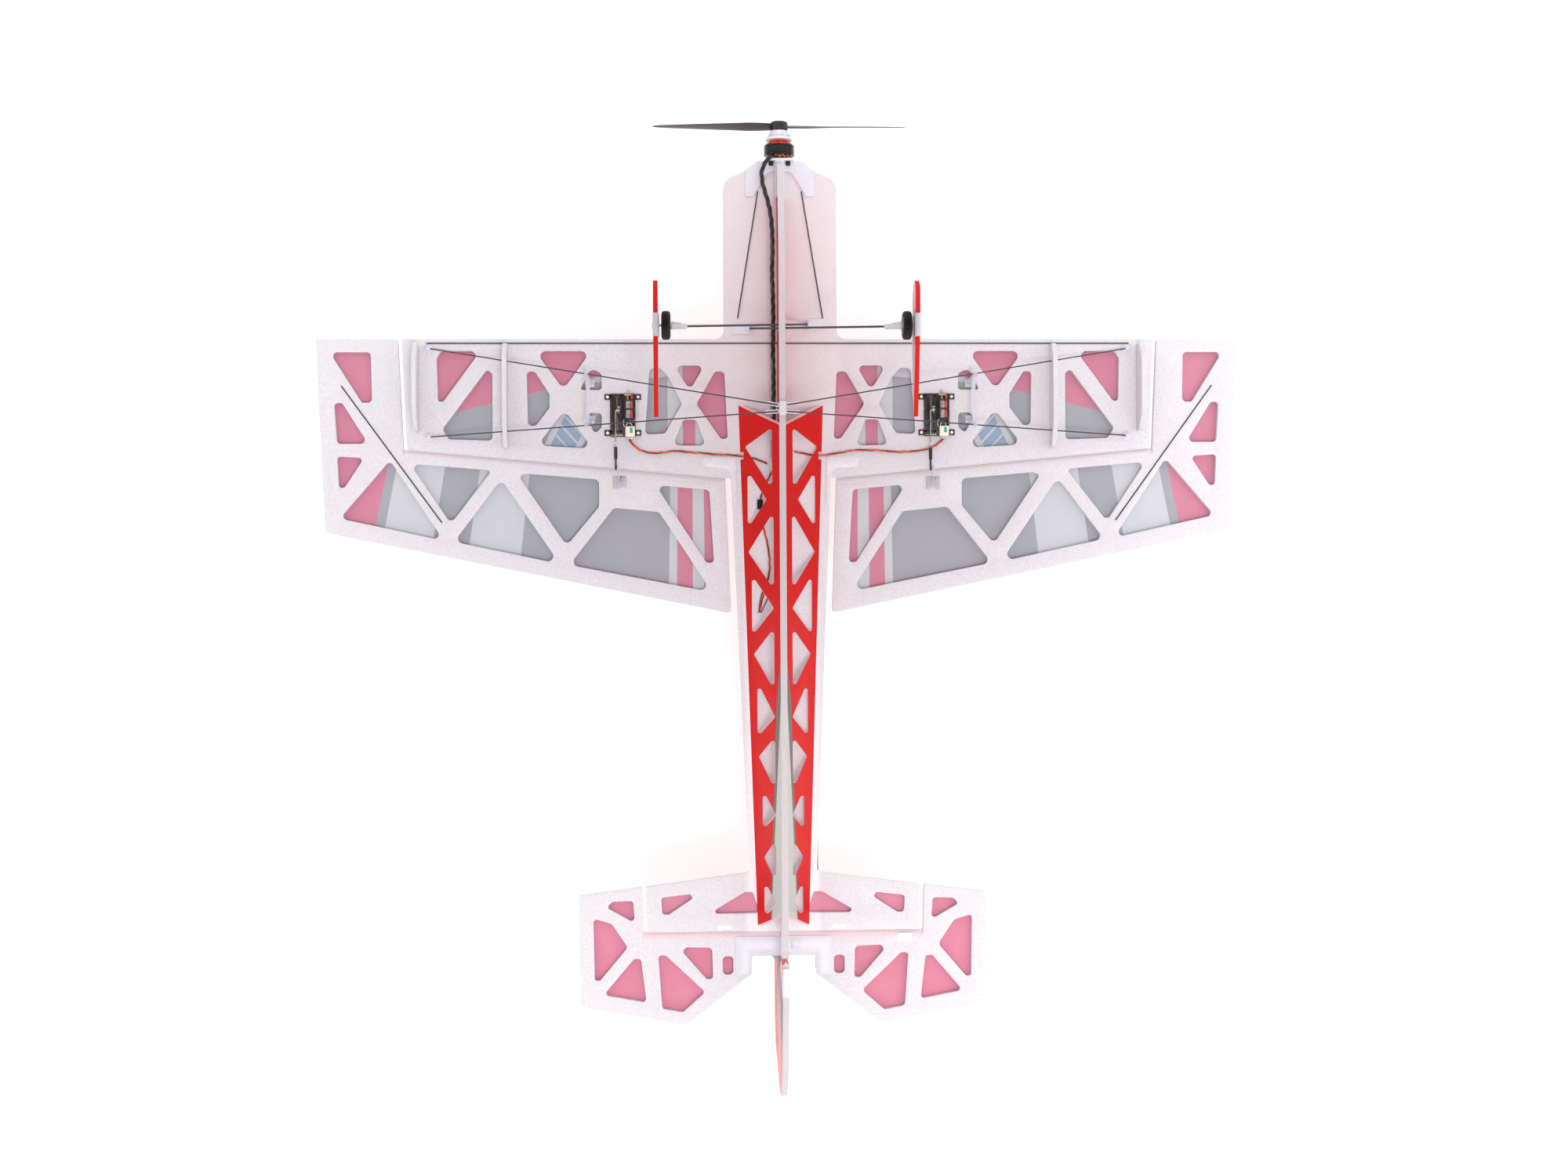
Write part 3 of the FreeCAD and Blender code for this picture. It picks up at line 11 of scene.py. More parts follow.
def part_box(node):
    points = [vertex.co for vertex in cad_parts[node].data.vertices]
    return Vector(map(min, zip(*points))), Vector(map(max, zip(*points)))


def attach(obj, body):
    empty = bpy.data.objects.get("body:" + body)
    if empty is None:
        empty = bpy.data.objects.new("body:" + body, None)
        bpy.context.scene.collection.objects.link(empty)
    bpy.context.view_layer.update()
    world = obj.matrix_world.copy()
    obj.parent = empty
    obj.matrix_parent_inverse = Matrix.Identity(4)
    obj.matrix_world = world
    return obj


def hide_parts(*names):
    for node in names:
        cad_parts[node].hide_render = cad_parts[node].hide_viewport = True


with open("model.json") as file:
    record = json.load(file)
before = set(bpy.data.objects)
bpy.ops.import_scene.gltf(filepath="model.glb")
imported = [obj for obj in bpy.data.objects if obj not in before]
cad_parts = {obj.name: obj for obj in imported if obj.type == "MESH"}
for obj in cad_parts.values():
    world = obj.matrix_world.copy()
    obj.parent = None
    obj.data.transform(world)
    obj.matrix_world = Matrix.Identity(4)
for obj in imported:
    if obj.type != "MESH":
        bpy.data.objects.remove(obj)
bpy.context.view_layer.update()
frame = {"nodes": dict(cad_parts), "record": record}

SCENE = bpy.context.scene
MM = 0.001
SHARP = radians(30)
NODES = frame["nodes"]
BODY_OF = {}
for body_name, members in frame["record"]["behaviour"]["bodies"].items():
    for member in members:
        BODY_OF[member] = body_name
SIDES = (("left", 1), ("right", -1))


# ---- shader helpers


def linear(red, green, blue):
    """A colour given as 0-255 screen values, as linear RGBA."""
    def channel(value):
        value /= 255
        return value / 12.92 if value <= 0.04045 else ((value + 0.055) / 1.055) ** 2.4
    return (channel(red), channel(green), channel(blue), 1)


class Shader:
    """A material with short calls for the nodes that this scene uses."""

    def __init__(self, name, roughness=0.5, **sockets):
        self.material = bpy.data.materials.new(name)
        self.material.use_nodes = True
        self.tree = self.material.node_tree
        self.surface = self.tree.nodes["Principled BSDF"]
        self.surface.inputs["Roughness"].default_value = roughness
        for socket, value in sockets.items():
            self.surface.inputs[socket.replace("_", " ")].default_value = value

    def add(self, kind):
        """A new node."""
        return self.tree.nodes.new("ShaderNode" + kind)

    def put(self, socket, value):
        """Links a node's socket, or sets a plain value."""
        if isinstance(value, bpy.types.NodeSocket):
            self.tree.links.new(value, socket)
        else:
            socket.default_value = value

    def coordinates(self):
        """The place on the object, in metres."""
        return self.add("TexCoord").outputs["Object"]

    def axes(self):
        """The object's x, y and z as three values."""
        split = self.add("SeparateXYZ")
        self.put(split.inputs[0], self.coordinates())
        return split.outputs

    def math(self, operation, first, second=0.0, third=0.0):
        """One arithmetic step."""
        step = self.add("Math")
        step.operation = operation
        for socket, value in zip(step.inputs, (first, second, third)):
            self.put(socket, value)
        return step.outputs[0]

    def times(self, first, second):
        """A product."""
        return self.math("MULTIPLY", first, second)

    def plus(self, first, second):
        """A sum."""
        return self.math("ADD", first, second)

    def minus(self, first, second):
        """A difference."""
        return self.math("SUBTRACT", first, second)

    def without(self, mask):
        """One minus a mask."""
        return self.minus(1.0, mask)

    def noise(self, scale, detail=2.0, roughness=0.5):
        """Fractal noise between 0 and 1."""
        texture = self.add("TexNoise")
        texture.inputs["Scale"].default_value = scale
        texture.inputs["Detail"].default_value = detail
        texture.inputs["Roughness"].default_value = roughness
        self.put(texture.inputs["Vector"], self.coordinates())
        return texture.outputs["Fac"]

    def cells(self, scale):
        """Distance to the nearest bead's middle."""
        texture = self.add("TexVoronoi")
        texture.inputs["Scale"].default_value = scale
        self.put(texture.inputs["Vector"], self.coordinates())
        return texture.outputs["Distance"]

    def ramp(self, factor, stops, constant=False):
        """A colour ramp; stops are (position, colour)."""
        node = self.add("ValToRGB")
        node.color_ramp.interpolation = "CONSTANT" if constant else "LINEAR"
        elements = node.color_ramp.elements
        elements[0].position, elements[0].color = stops[0]
        elements[1].position, elements[1].color = stops[-1]
        for position, colour in stops[1:-1]:
            elements.new(position).color = colour
        self.put(node.inputs[0], factor)
        return node.outputs[0]

    def mix(self, factor, first, second):
        """Two colours mixed."""
        node = self.add("Mix")
        node.data_type = "RGBA"
        self.put(node.inputs["Factor"], factor)
        self.put(node.inputs[6], first)
        self.put(node.inputs[7], second)
        return node.outputs[2]

    def step(self, value, edge, width=0.0004):
        """0 below the edge and 1 above it, over a small width."""
        node = self.add("MapRange")
        self.put(node.inputs["Value"], value)
        node.inputs["From Min"].default_value = edge - width / 2
        node.inputs["From Max"].default_value = edge + width / 2
        return node.outputs[0]

    def colour(self, value):
        """Sets the base colour."""
        self.put(self.surface.inputs["Base Color"], value)

    def roughness(self, low, high, factor):
        """Roughness that wanders between two values."""
        node = self.add("MapRange")
        self.put(node.inputs["Value"], factor)
        node.inputs["To Min"].default_value = low
        node.inputs["To Max"].default_value = high
        self.put(self.surface.inputs["Roughness"], node.outputs[0])

    def bump(self, height, strength, distance=0.0005):
        """Fine relief on the surface."""
        node = self.add("Bump")
        node.inputs["Strength"].default_value = strength
        node.inputs["Distance"].default_value = distance
        self.put(node.inputs["Height"], height)
        self.put(self.surface.inputs["Normal"], node.outputs[0])


def mottled(name, dark, light, roughness, scale, bump=0.1, sharpness=0.5, **sockets):
    """A plain material whose colour and gloss wander a little between two tones."""
    shader = Shader(name, roughness, **sockets)
    grain = shader.noise(scale, 4.0, sharpness)
    shader.colour(shader.ramp(grain, [(0.3, linear(*dark)), (0.7, linear(*light))]))
    shader.roughness(roughness * 0.85, min(1, roughness * 1.15), grain)
    shader.bump(grain, bump, 0.0002)
    return shader.material


# ---- materials

# pink of the painted red bounce light on the foam near the fuselage
RED_BOUNCE_PINK = linear(212, 195, 199)
# strength of the painted light that brightens the shaded belly cavity
BELLY_GLOW = 0.22


def foam_material(name, light, shade, glow=0.05, bounce_tint=None):
    """Moulded bead foam: fused beads, fine grain and a soft matt skin, with a painted glow (emission) that
    stands in for light shining through the foam.
    """
    shader = Shader(name, 0.85, Specular_IOR_Level=0.3)
    beads = shader.cells(420)
    grain = shader.noise(1300, 3.0, 0.65)
    cloud = shader.noise(35, 3.0, 0.5)
    height = shader.plus(shader.times(beads, -0.5), shader.times(grain, 0.7))
    colour = shader.ramp(grain, [(0.3, linear(*shade)), (0.62, linear(*light))])
    # painted reflection: pink bounce light from the red keel and belly panels, mixed into the foam near the
    # fuselage ahead of the wing
    if bounce_tint:
        x, y, z = shader.axes()
        across = shader.math("ABSOLUTE", x)
        near = shader.without(shader.step(across, 0.09, 0.12))
        front = shader.without(shader.step(y, -0.15, 0.12))
        bounce_amount = shader.times(near, front)
        bounce_amount = shader.times(bounce_amount, shader.math("MULTIPLY_ADD", cloud, 0.5, 0.35))
        colour = shader.mix(bounce_amount, colour, bounce_tint)
        # painted light: extra glow on the plate's underside within the shaded belly cavity between the panels
        cavity_glow_mask = shader.times(shader.without(shader.step(across, 0.034, 0.006)),
                              shader.step(y, -0.165, 0.02))
        glow = shader.math("MULTIPLY_ADD", cavity_glow_mask, BELLY_GLOW, glow)
    shader.colour(colour)
    # painted light: the foam emits its own colour at the glow strength, so it glows though it is no lamp
    shader.put(shader.surface.inputs["Emission Color"], colour)
    shader.put(shader.surface.inputs["Emission Strength"], glow)
    shader.bump(height, 0.5, 0.0005)
    return shader.material


RED_UNDER = linear(196, 122, 145)
TAIL_UNDER = linear(207, 129, 152)
DARK_UNDER = linear(155, 156, 163)
LIGHT_UNDER = linear(192, 194, 199)
BLUE_UNDER = linear(140, 160, 184)
RED_TOP = linear(205, 24, 30)
DARK_TOP = linear(52, 53, 60)
LIGHT_TOP = linear(204, 206, 211)
BLUE_TOP = linear(44, 96, 150)
PRINT_RED = linear(206, 18, 16)
PRINT_CHARCOAL = linear(112, 108, 102)
PRINT_GREY = linear(184, 186, 179)


def film_colours(upper):
    """Red, dark, light and blue of the print, from above or as they show from below."""
    if upper:
        return RED_TOP, DARK_TOP, LIGHT_TOP, BLUE_TOP
    return RED_UNDER, DARK_UNDER, LIGHT_UNDER, BLUE_UNDER


def film_surface(name, upper):
    """The film's finish: satin printed film above, its glued matt side below."""
    shader = Shader(name, 0.32 if upper else 0.6)
    wrinkle = shader.noise(140, 3.0, 0.55)
    shader.roughness(*((0.24, 0.42) if upper else (0.5, 0.7)), wrinkle)
    shader.bump(wrinkle, 0.12 if upper else 0.08, 0.0006)
    return shader


def band(shader, value, start, end, width=0.0004):
    """1 between two edges and 0 elsewhere."""
    return shader.times(shader.step(value, start, width), shader.without(shader.step(value, end, width)))


def stripes(shader, value, reach, edges):
    """Hard-edged stripes; edges are (start in metres, colour)."""
    scaled = [(edge / reach, colour) for edge, colour in edges]
    return shader.ramp(shader.math("DIVIDE", value, reach), scaled, True)


def fanned(shader, across, along):
    """Distance out along the span, measured at one chord station, of stripes that fan out aft."""
    spread = shader.math("MULTIPLY_ADD", shader.plus(along, 0.1), 0.7, 1.0)
    outboard = shader.minus(across, 0.08)
    return shader.plus(shader.math("DIVIDE", outboard, spread), 0.08)


def aileron_film(upper):
    """Stripes that fan out across the aileron, from the root to the tip."""
    shader = film_surface("aileron_film_" + ("upper" if upper else "lower"), upper)
    red, dark, light, blue = film_colours(upper)
    x, y, z = shader.axes()
    place = fanned(shader, shader.math("ABSOLUTE", x), y)
    shader.colour(stripes(shader, place, 0.45, [
        (0.0, red), (0.0717, light), (0.081, red), (0.096, light), (0.1025, dark),
        (0.2373, light), (0.2845, dark), (0.318, light), (0.3625, dark), (0.3713, red),
    ]))
    return shader.material


def plate_film(upper):
    """Red nose, tail and leading edge, with a grey and light wing panel."""
    shader = film_surface("plate_film_" + ("upper" if upper else "lower"), upper)
    red, dark, light, blue = film_colours(upper)
    x, y, z = shader.axes()
    across = shader.math("ABSOLUTE", x)
    lower_edge = shader.minus(y, shader.times(across, 0.083))
    panel = shader.mix(shader.step(lower_edge, -0.2275), light, dark)
    lean = shader.minus(across, shader.times(y, 0.5))
    behind = shader.step(y, -0.186)
    gap = shader.times(band(shader, lean, 0.262, 0.298), behind)
    flash = shader.times(band(shader, lean, 0.268, 0.292), behind)
    panel = shader.mix(gap, panel, light)
    panel = shader.mix(flash, panel, blue)
    rising = shader.math("MULTIPLY_ADD", y, 0.9, across)
    for start, end in ((0.036, 0.0385), (0.0475, 0.05), (0.0605, 0.0625)):
        line = shader.times(flash, band(shader, rising, start, end))
        panel = shader.mix(line, panel, light)
    sweep = shader.minus(y, shader.times(across, 0.25))
    panel = shader.mix(shader.step(sweep, -0.2612), red, panel)
    root = stripes(shader, across, 0.2, [
        (0.0, red), (0.0722, light), (0.0794, red), (0.0914, light), (0.106, light)])
    root_front = stripes(shader, across, 0.2, [(0.0, red), (0.0914, light), (0.106, light)])
    root = shader.mix(shader.step(y, -0.178), root_front, root)
    wing = shader.mix(shader.step(across, 0.1055), root, panel)
    elsewhere = shader.mix(shader.step(y, 0.2), red, red if upper else TAIL_UNDER)
    shader.colour(shader.mix(band(shader, y, -0.2535, -0.05), elsewhere, wing))
    return shader.material


def elevator_film(upper):
    """Red tail film, with one light stripe above."""
    shader = film_surface("elevator_film_" + ("upper" if upper else "lower"), upper)
    red, dark, light, blue = film_colours(upper)
    x, y, z = shader.axes()
    edge = shader.plus(shader.math("ABSOLUTE", x), shader.times(y, 0.4))
    if upper:
        shader.colour(shader.mix(band(shader, edge, 0.262, 0.27), red, light))
    else:
        shader.colour(shader.mix(shader.noise(60), TAIL_UNDER, linear(200, 110, 134)))
    return shader.material


def side_film(name):
    """The fuselage's printed sides: red, a dark canopy with a light rim, and slanted tail bands."""
    shader = film_surface(name, True)
    x, y, z = shader.axes()
    along = shader.math("DIVIDE", shader.plus(y, 0.185), 0.105)
    height = shader.math("DIVIDE", shader.minus(z, 0.172), 0.03)
    round_off = shader.plus(shader.math("POWER", along, 2.0), shader.math("POWER", height, 2.0))
    colour = shader.mix(shader.without(shader.step(round_off, 1.3, 0.02)), RED_TOP, LIGHT_TOP)
    colour = shader.mix(shader.without(shader.step(round_off, 1.0, 0.02)), colour, DARK_TOP)
    sill = band(shader, z, 0.1525, 0.157)
    colour = shader.mix(shader.times(sill, shader.without(shader.step(y, 0.2))), colour, LIGHT_TOP)
    lean = shader.plus(y, shader.times(z, 0.6))
    for start, end, tone in ((0.40, 0.414, LIGHT_TOP), (0.42, 0.47, DARK_TOP), (0.476, 0.484, BLUE_TOP)):
        colour = shader.mix(band(shader, lean, start, end), colour, tone)
    shader.colour(colour)
    return shader.material


def keel_film():
    """The keel's sides: red film ahead of the belly panels, raw foam elsewhere."""
    shader = Shader("keel_side", 0.6, Specular_IOR_Level=0.2)
    x, y, z = shader.axes()
    grain = shader.noise(900, 3.0, 0.6)
    raw = shader.ramp(grain, [(0.3, linear(226, 196, 202)), (0.65, linear(244, 222, 226))])
    red = shader.ramp(grain, [(0.3, linear(190, 30, 34)), (0.65, linear(214, 44, 46))])
    shader.colour(shader.mix(band(shader, y, -0.383, -0.172), raw, red))
    shader.bump(grain, 0.2, 0.0003)
    return shader.material


def belly_print():
    """The belly panels' outer face: red, then charcoal and light grey beside the keel towards the tail."""
    shader = Shader("belly_print", 0.6, Specular_IOR_Level=0.2)
    x, y, z = shader.axes()
    grain = shader.noise(1100, 3.0, 0.6)
    red = shader.ramp(grain, [(0.3, linear(192, 14, 12)), (0.62, PRINT_RED)])
    across = shader.minus(shader.math("ABSOLUTE", x), 0.003)
    aft = shader.minus(y, 0.082)
    growth = shader.math("MULTIPLY_ADD", aft, 0.031, 0.0036)
    start = shader.times(shader.minus(y, 0.045), 0.0973)
    edge = shader.math("MINIMUM", growth, start)
    dark_width = shader.math("MULTIPLY_ADD", aft, -0.0143, 0.0036)
    inner_edge = shader.minus(edge, shader.math("MAXIMUM", dark_width, 0.0012))
    beyond_red = shader.step(shader.minus(across, edge), 0.0, 0.0003)
    beyond_dark = shader.step(shader.minus(across, inner_edge), 0.0, 0.0003)
    colour = shader.mix(beyond_dark, PRINT_GREY, PRINT_CHARCOAL)
    shader.colour(shader.mix(beyond_red, colour, red))
    shader.roughness(0.42, 0.62, grain)
    shader.bump(grain, 0.18, 0.0002)
    return shader.material


def carbon_material():
    """Pultruded carbon rod: dark, satin, with fine streaks."""
    shader = Shader("carbon", 0.4)
    streak = shader.noise(700, 3.0, 0.6)
    shader.colour(shader.ramp(streak, [(0.3, linear(22, 17, 20)), (0.7, linear(52, 42, 46))]))
    shader.roughness(0.3, 0.5, streak)
    shader.bump(streak, 0.25, 0.0001)
    return shader.material


# the white foam carries the painted red bounce light near the fuselage and the painted glow
WHITE_FOAM = foam_material("white_foam", (219, 216, 220), (194, 190, 195), bounce_tint=RED_BOUNCE_PINK)
# painted shade: a darker copy of the foam for the cut edges of the keel, profile and rudder, against the
# light they catch
SHADED_EDGE_FOAM = foam_material("edge_foam", (206, 200, 202), (184, 178, 181), 0.0)
# painted light: lighter foams with a glow for the hinge bevels, lifting the shade that falls in the bevel
HINGE_FOAM = foam_material("hinge_foam", (228, 221, 224), (218, 208, 211), 0.12)
TAIL_HINGE_FOAM = foam_material("tail_hinge_foam", (230, 212, 215), (217, 191, 194), 0.2)
RED_FOAM = foam_material("red_foam", (224, 40, 33), (196, 24, 22), 0.0)
# painted light: the belly panels' raw inner faces and cut edges glow to brighten the shaded cavity
RAW_PINK = foam_material("raw_pink_foam", (232, 192, 195), (214, 166, 170), 0.18)
RAW_WHITE = foam_material("raw_pale_foam", (226, 202, 202), (212, 180, 182), 0.0)
CARBON = carbon_material()
WHITE = mottled("white_plastic", (206, 204, 214), (214, 212, 221), 0.38, 700, 0.05)
DOUBLER = mottled("doubler_plastic", (214, 211, 217), (226, 223, 229), 0.4, 260, 0.05)
FROSTED = mottled("frosted_plastic", (202, 201, 211), (209, 208, 217), 0.35, 500, 0.06)
CLEAR = mottled("clear_plastic", (206, 207, 220), (220, 221, 232), 0.2, 200, 0.04, Alpha=0.6)
BLACK = mottled("black_plastic", (14, 14, 16), (34, 34, 38), 0.4, 700, 0.15)
GREY = mottled("grey_plastic", (44, 42, 44), (66, 63, 66), 0.36, 500, 0.12)
GLOSS_BLACK = mottled("gloss_black", (8, 8, 9), (20, 20, 22), 0.16, 300, 0.04)
BOARD = mottled("circuit_board", (16, 20, 20), (34, 40, 38), 0.45, 420, 0.1)
BLACK_METAL = mottled("black_metal", (16, 16, 18), (36, 36, 40), 0.26, 900, 0.08, Metallic=0.6)
STEEL = mottled("steel", (150, 146, 144), (206, 202, 198), 0.25, 900, 0.1, Metallic=1.0)
MOTOR_CAN = mottled("motor_can", (128, 124, 122), (190, 186, 182), 0.3, 500, 0.08, Metallic=0.9)
DARK_STEEL = mottled("dark_steel", (26, 25, 27), (58, 56, 58), 0.32, 900, 0.1, Metallic=0.8)
COPPER = mottled("copper", (150, 66, 26), (232, 150, 82), 0.3, 1900, 0.45, Metallic=0.8)
ORANGE = mottled("orange_metal", (176, 44, 20), (226, 78, 40), 0.34, 700, 0.1, Metallic=0.55)
BRASS = mottled("brass", (150, 112, 60), (196, 156, 96), 0.3, 900, 0.1, Metallic=0.9)
RUBBER = mottled("rubber", (18, 18, 19), (40, 39, 41), 0.75, 800, 0.25)
BLUE_WRAP = mottled("blue_wrap", (22, 48, 110), (34, 66, 140), 0.25, 90, 0.15)
WEBBING = mottled("webbing", (14, 14, 16), (44, 44, 48), 0.9, 1600, 0.6)
BLACK_WIRE = mottled("black_wire", (12, 11, 12), (36, 33, 35), 0.32, 300, 0.08)
RED_WIRE = mottled("red_wire", (196, 52, 34), (226, 82, 56), 0.42, 300, 0.08)
ORANGE_WIRE = mottled("orange_wire", (204, 92, 58), (230, 124, 84), 0.42, 300, 0.08)
BROWN_WIRE = mottled("brown_wire", (74, 36, 28), (112, 58, 44), 0.42, 300, 0.08)
CREAM = mottled("cream_plastic", (232, 222, 192), (248, 240, 216), 0.45, 300, 0.08)
TEAL = mottled("teal_mark", (24, 146, 164), (44, 172, 188), 0.45, 300, 0.05)
RED_MARK = mottled("red_mark", (180, 40, 44), (212, 66, 66), 0.4, 300, 0.05)
WHITE_MARK = mottled("white_mark", (226, 226, 226), (246, 246, 246), 0.5, 300, 0.05)

# the record's finishes whose material has another name here
OTHER_NAMES = {"printed_film": "red_foam", "copper_winding": "copper", "black_rubber": "rubber",
               "black_webbing": "webbing"}
SLOT_OF = {part["node"]: part["material_slot"] for part in frame["record"]["subparts"]}

for node_name, node_object in NODES.items():
    for entry in node_object.material_slots:
        slot_name = SLOT_OF[node_name]
        entry.material = bpy.data.materials[OTHER_NAMES.get(slot_name, slot_name)]


# ---- building pieces


def place_piece(name, mesh, body, materials, nodes=()):
    """A new piece that rides on a body, takes the materials given and stands for the nodes named."""
    piece = bpy.data.objects.new(name, mesh)
    SCENE.collection.objects.link(piece)
    for material in materials:
        mesh.materials.append(material)
    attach(piece, body)
    if nodes:
        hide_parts(*nodes)
    return piece


def corners_of(node):
    """A node's lowest and highest corners, in millimetres."""
    low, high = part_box(node)
    return low / MM, high / MM


def soften(part, width, segments=2):
    """Rounds every sharp edge of a mesh."""
    sharp = [edge for edge in part.edges if edge.is_manifold and edge.calc_face_angle() > SHARP]
    if width > 0 and sharp:
        bmesh.ops.bevel(part, geom=sharp, offset=width, segments=segments, affect="EDGES",
                        profile=0.5, clamp_overlap=True)


def rounded(node, width, materials, pick=None, segments=2):
    """The node's own shape with its edges softened; pick chooses a face's material."""
    mesh = NODES[node].data.copy()
    mesh.materials.clear()
    part = bmesh.new()
    part.from_mesh(mesh)
    bmesh.ops.remove_doubles(part, verts=part.verts, dist=1e-6)
    bmesh.ops.dissolve_limit(part, angle_limit=radians(0.6), verts=part.verts, edges=part.edges)
    if pick:
        for face in part.faces:
            face.material_index = pick(face.normal, face.calc_center_median())
    soften(part, width * MM, segments)
    bmesh.ops.triangulate(part, faces=[face for face in part.faces if len(face.verts) > 4])
    for face in part.faces:
        face.smooth = True
        if not pick:
            face.material_index = 0
    part.to_mesh(mesh)
    part.free()
    mesh.set_sharp_from_angle(angle=SHARP)
    return place_piece(node + "_looks", mesh, BODY_OF[node], materials, [node])


def two_faced(node, upper, lower):
    """A film: one material on its upper face and edges, another on its lower face."""
    mesh = NODES[node].data.copy()
    mesh.materials.clear()
    for face in mesh.polygons:
        face.material_index = 1 if face.normal.z < -0.5 else 0
    return place_piece(node + "_skin", mesh, BODY_OF[node], (upper, lower), [node])


def path_frames(points):
    """Two crossways unit vectors at each point of a path, turning no more than the path does."""
    side = None
    result = []
    for i, point in enumerate(points):
        ahead = points[min(i + 1, len(points) - 1)] - points[max(i - 1, 0)]
        ahead.normalize()
        side = ahead.orthogonal() if side is None else side - ahead * side.dot(ahead)
        side.normalize()
        result.append((side.copy(), ahead.cross(side)))
    return result


def turns(count):
    """Evenly spaced angles round a full turn."""
    return [2 * pi * k / count for k in range(count)]


def circle(centre, side, over, radius, count):
    """Points round a centre, in the plane of two crossways directions."""
    return [centre + (side * cos(turn) + over * sin(turn)) * radius for turn in turns(count)]


class Build:
    """Gathers the solids of one piece, in millimetres; place carries a point into the frame."""

    def __init__(self, place=Vector):
        self.mesh = bmesh.new()
        self.materials = []
        self.place = place

    def take(self, part, material):
        """Adds a finished solid in one material."""
        if material not in self.materials:
            self.materials.append(material)
        copies = {vert: self.mesh.verts.new(Vector(self.place(vert.co)) * MM) for vert in part.verts}
        for face in part.faces:
            made = self.mesh.faces.new([copies[vert] for vert in face.verts])
            made.material_index = self.materials.index(material)
            made.smooth = True
        part.free()

    def box(self, low, high, material, bevel=0.2):
        """A block with softened edges."""
        part = bmesh.new()
        bmesh.ops.create_cube(part, size=1)
        low, high = Vector(low), Vector(high)
        for vert in part.verts:
            vert.co = Vector(low[i] + (high[i] - low[i]) * (vert.co[i] + 0.5) for i in range(3))
        soften(part, bevel)
        self.take(part, material)

    def loft(self, rings, material, closed=True, wrap=False):
        """A skin over rings of equal length; closed fills the end rings, wrap joins them."""
        part = bmesh.new()
        made = [[part.verts.new(point) for point in ring] for ring in rings]
        count = len(made[0])
        spans = list(zip(made, made[1:]))
        if wrap:
            spans.append((made[-1], made[0]))
        for first, second in spans:
            for i in range(count):
                j = (i + 1) % count
                part.faces.new((first[i], first[j], second[j], second[i]))
        if closed and not wrap:
            part.faces.new(made[0])
            part.faces.new(reversed(made[-1]))
        bmesh.ops.remove_doubles(part, verts=part.verts, dist=1e-5)
        bmesh.ops.dissolve_degenerate(part, edges=part.edges, dist=1e-6)
        self.take(part, material)

    def tube(self, points, radius, material, sides=10):
        """A round tube along a path; radius is one value, or one for each point."""
        points = [Vector(point) for point in points]
        radii = radius if isinstance(radius, (list, tuple)) else [radius] * len(points)
        self.loft([circle(point, side, over, size, sides)
                   for point, size, (side, over) in zip(points, radii, path_frames(points))], material)

    def lathe(self, start, direction, profile, material, steps=40, wrap=False):
        """A turned solid from (distance along, radius) points; wrap closes a hollow profile."""
        start, direction = Vector(start), Vector(direction).normalized()
        side = direction.orthogonal().normalized()
        over = direction.cross(side)
        self.loft([circle(start + direction * along, side, over, max(radius, 0.001), steps)
                   for along, radius in profile], material, True, wrap)

    def bar(self, places, material):
        """A four-sided bar through places, each (one side's middle, the other's, half the width)."""
        self.loft([[first - half, first + half, second + half, second - half]
                   for first, second, half in places], material)

    def finish(self, node, name=None, replaced=False):
        """Makes the piece: a node's looks, or with a name an extra piece beside the node."""
        if name is None:
            name, replaced = node + "_looks", True
        bmesh.ops.recalc_face_normals(self.mesh, faces=self.mesh.faces)
        mesh = bpy.data.meshes.new(name)
        self.mesh.to_mesh(mesh)
        self.mesh.free()
        mesh.set_sharp_from_angle(angle=SHARP)
        nodes = [node] if replaced else []
        return place_piece(name, mesh, BODY_OF[node], self.materials, nodes)


# ---- foam and film


def flat_sides(normal, centre):
    """0 on the sheet's two faces, 1 on its edges."""
    return 0 if abs(normal.x) > 0.6 else 1


def belly_face(normal, centre):
    """0 on a belly panel's printed face, 1 on its cut edges and inner face."""
    return 0 if normal.z < -0.4 and normal.x * centre.x > 0 else 1


def pant_face(normal, centre):
    """0 on a wheel pant's red outer face and edge, 1 on its raw inner face."""
    return 1 if abs(normal.x) > 0.6 and normal.x * centre.x < 0 else 0


def hinge_face(normal, centre):
    """1 on the bevel along a hinge, 0 elsewhere."""
    return 1 if normal.y < -0.3 and normal.z < -0.3 else 0


for foam_node in ("foam_plate", "wing_fences"):
    rounded(foam_node, 0.45, [WHITE_FOAM])
# the hinge bevels take the foams with painted light
for foam_node, hinge_foam in (("aileron_left", HINGE_FOAM), ("aileron_right", HINGE_FOAM),
                              ("elevator", TAIL_HINGE_FOAM)):
    rounded(foam_node, 0.45, [WHITE_FOAM, hinge_foam], hinge_face)
rounded("lower_keel", 0.4, [keel_film(), SHADED_EDGE_FOAM], flat_sides)
rounded("upper_profile", 0.4, [side_film("fuselage_film"), SHADED_EDGE_FOAM], flat_sides)
rounded("rudder", 0.4, [side_film("rudder_film"), SHADED_EDGE_FOAM], flat_sides)
BELLY_PRINT = belly_print()
for side, sign in SIDES:
    rounded(f"belly_panel_{side}", 0.25, [BELLY_PRINT, RAW_PINK], belly_face)
rounded("wheel_pants", 0.5, [RED_FOAM, RAW_WHITE], pant_face, 3)
two_faced("plate_film", plate_film(True), plate_film(False))
aileron_upper, aileron_lower = aileron_film(True), aileron_film(False)
for side, sign in SIDES:
    two_faced(f"aileron_film_{side}", aileron_upper, aileron_lower)
two_faced("elevator_film", elevator_film(True), elevator_film(False))

PLATE_LOW = corners_of("foam_plate")[0].z


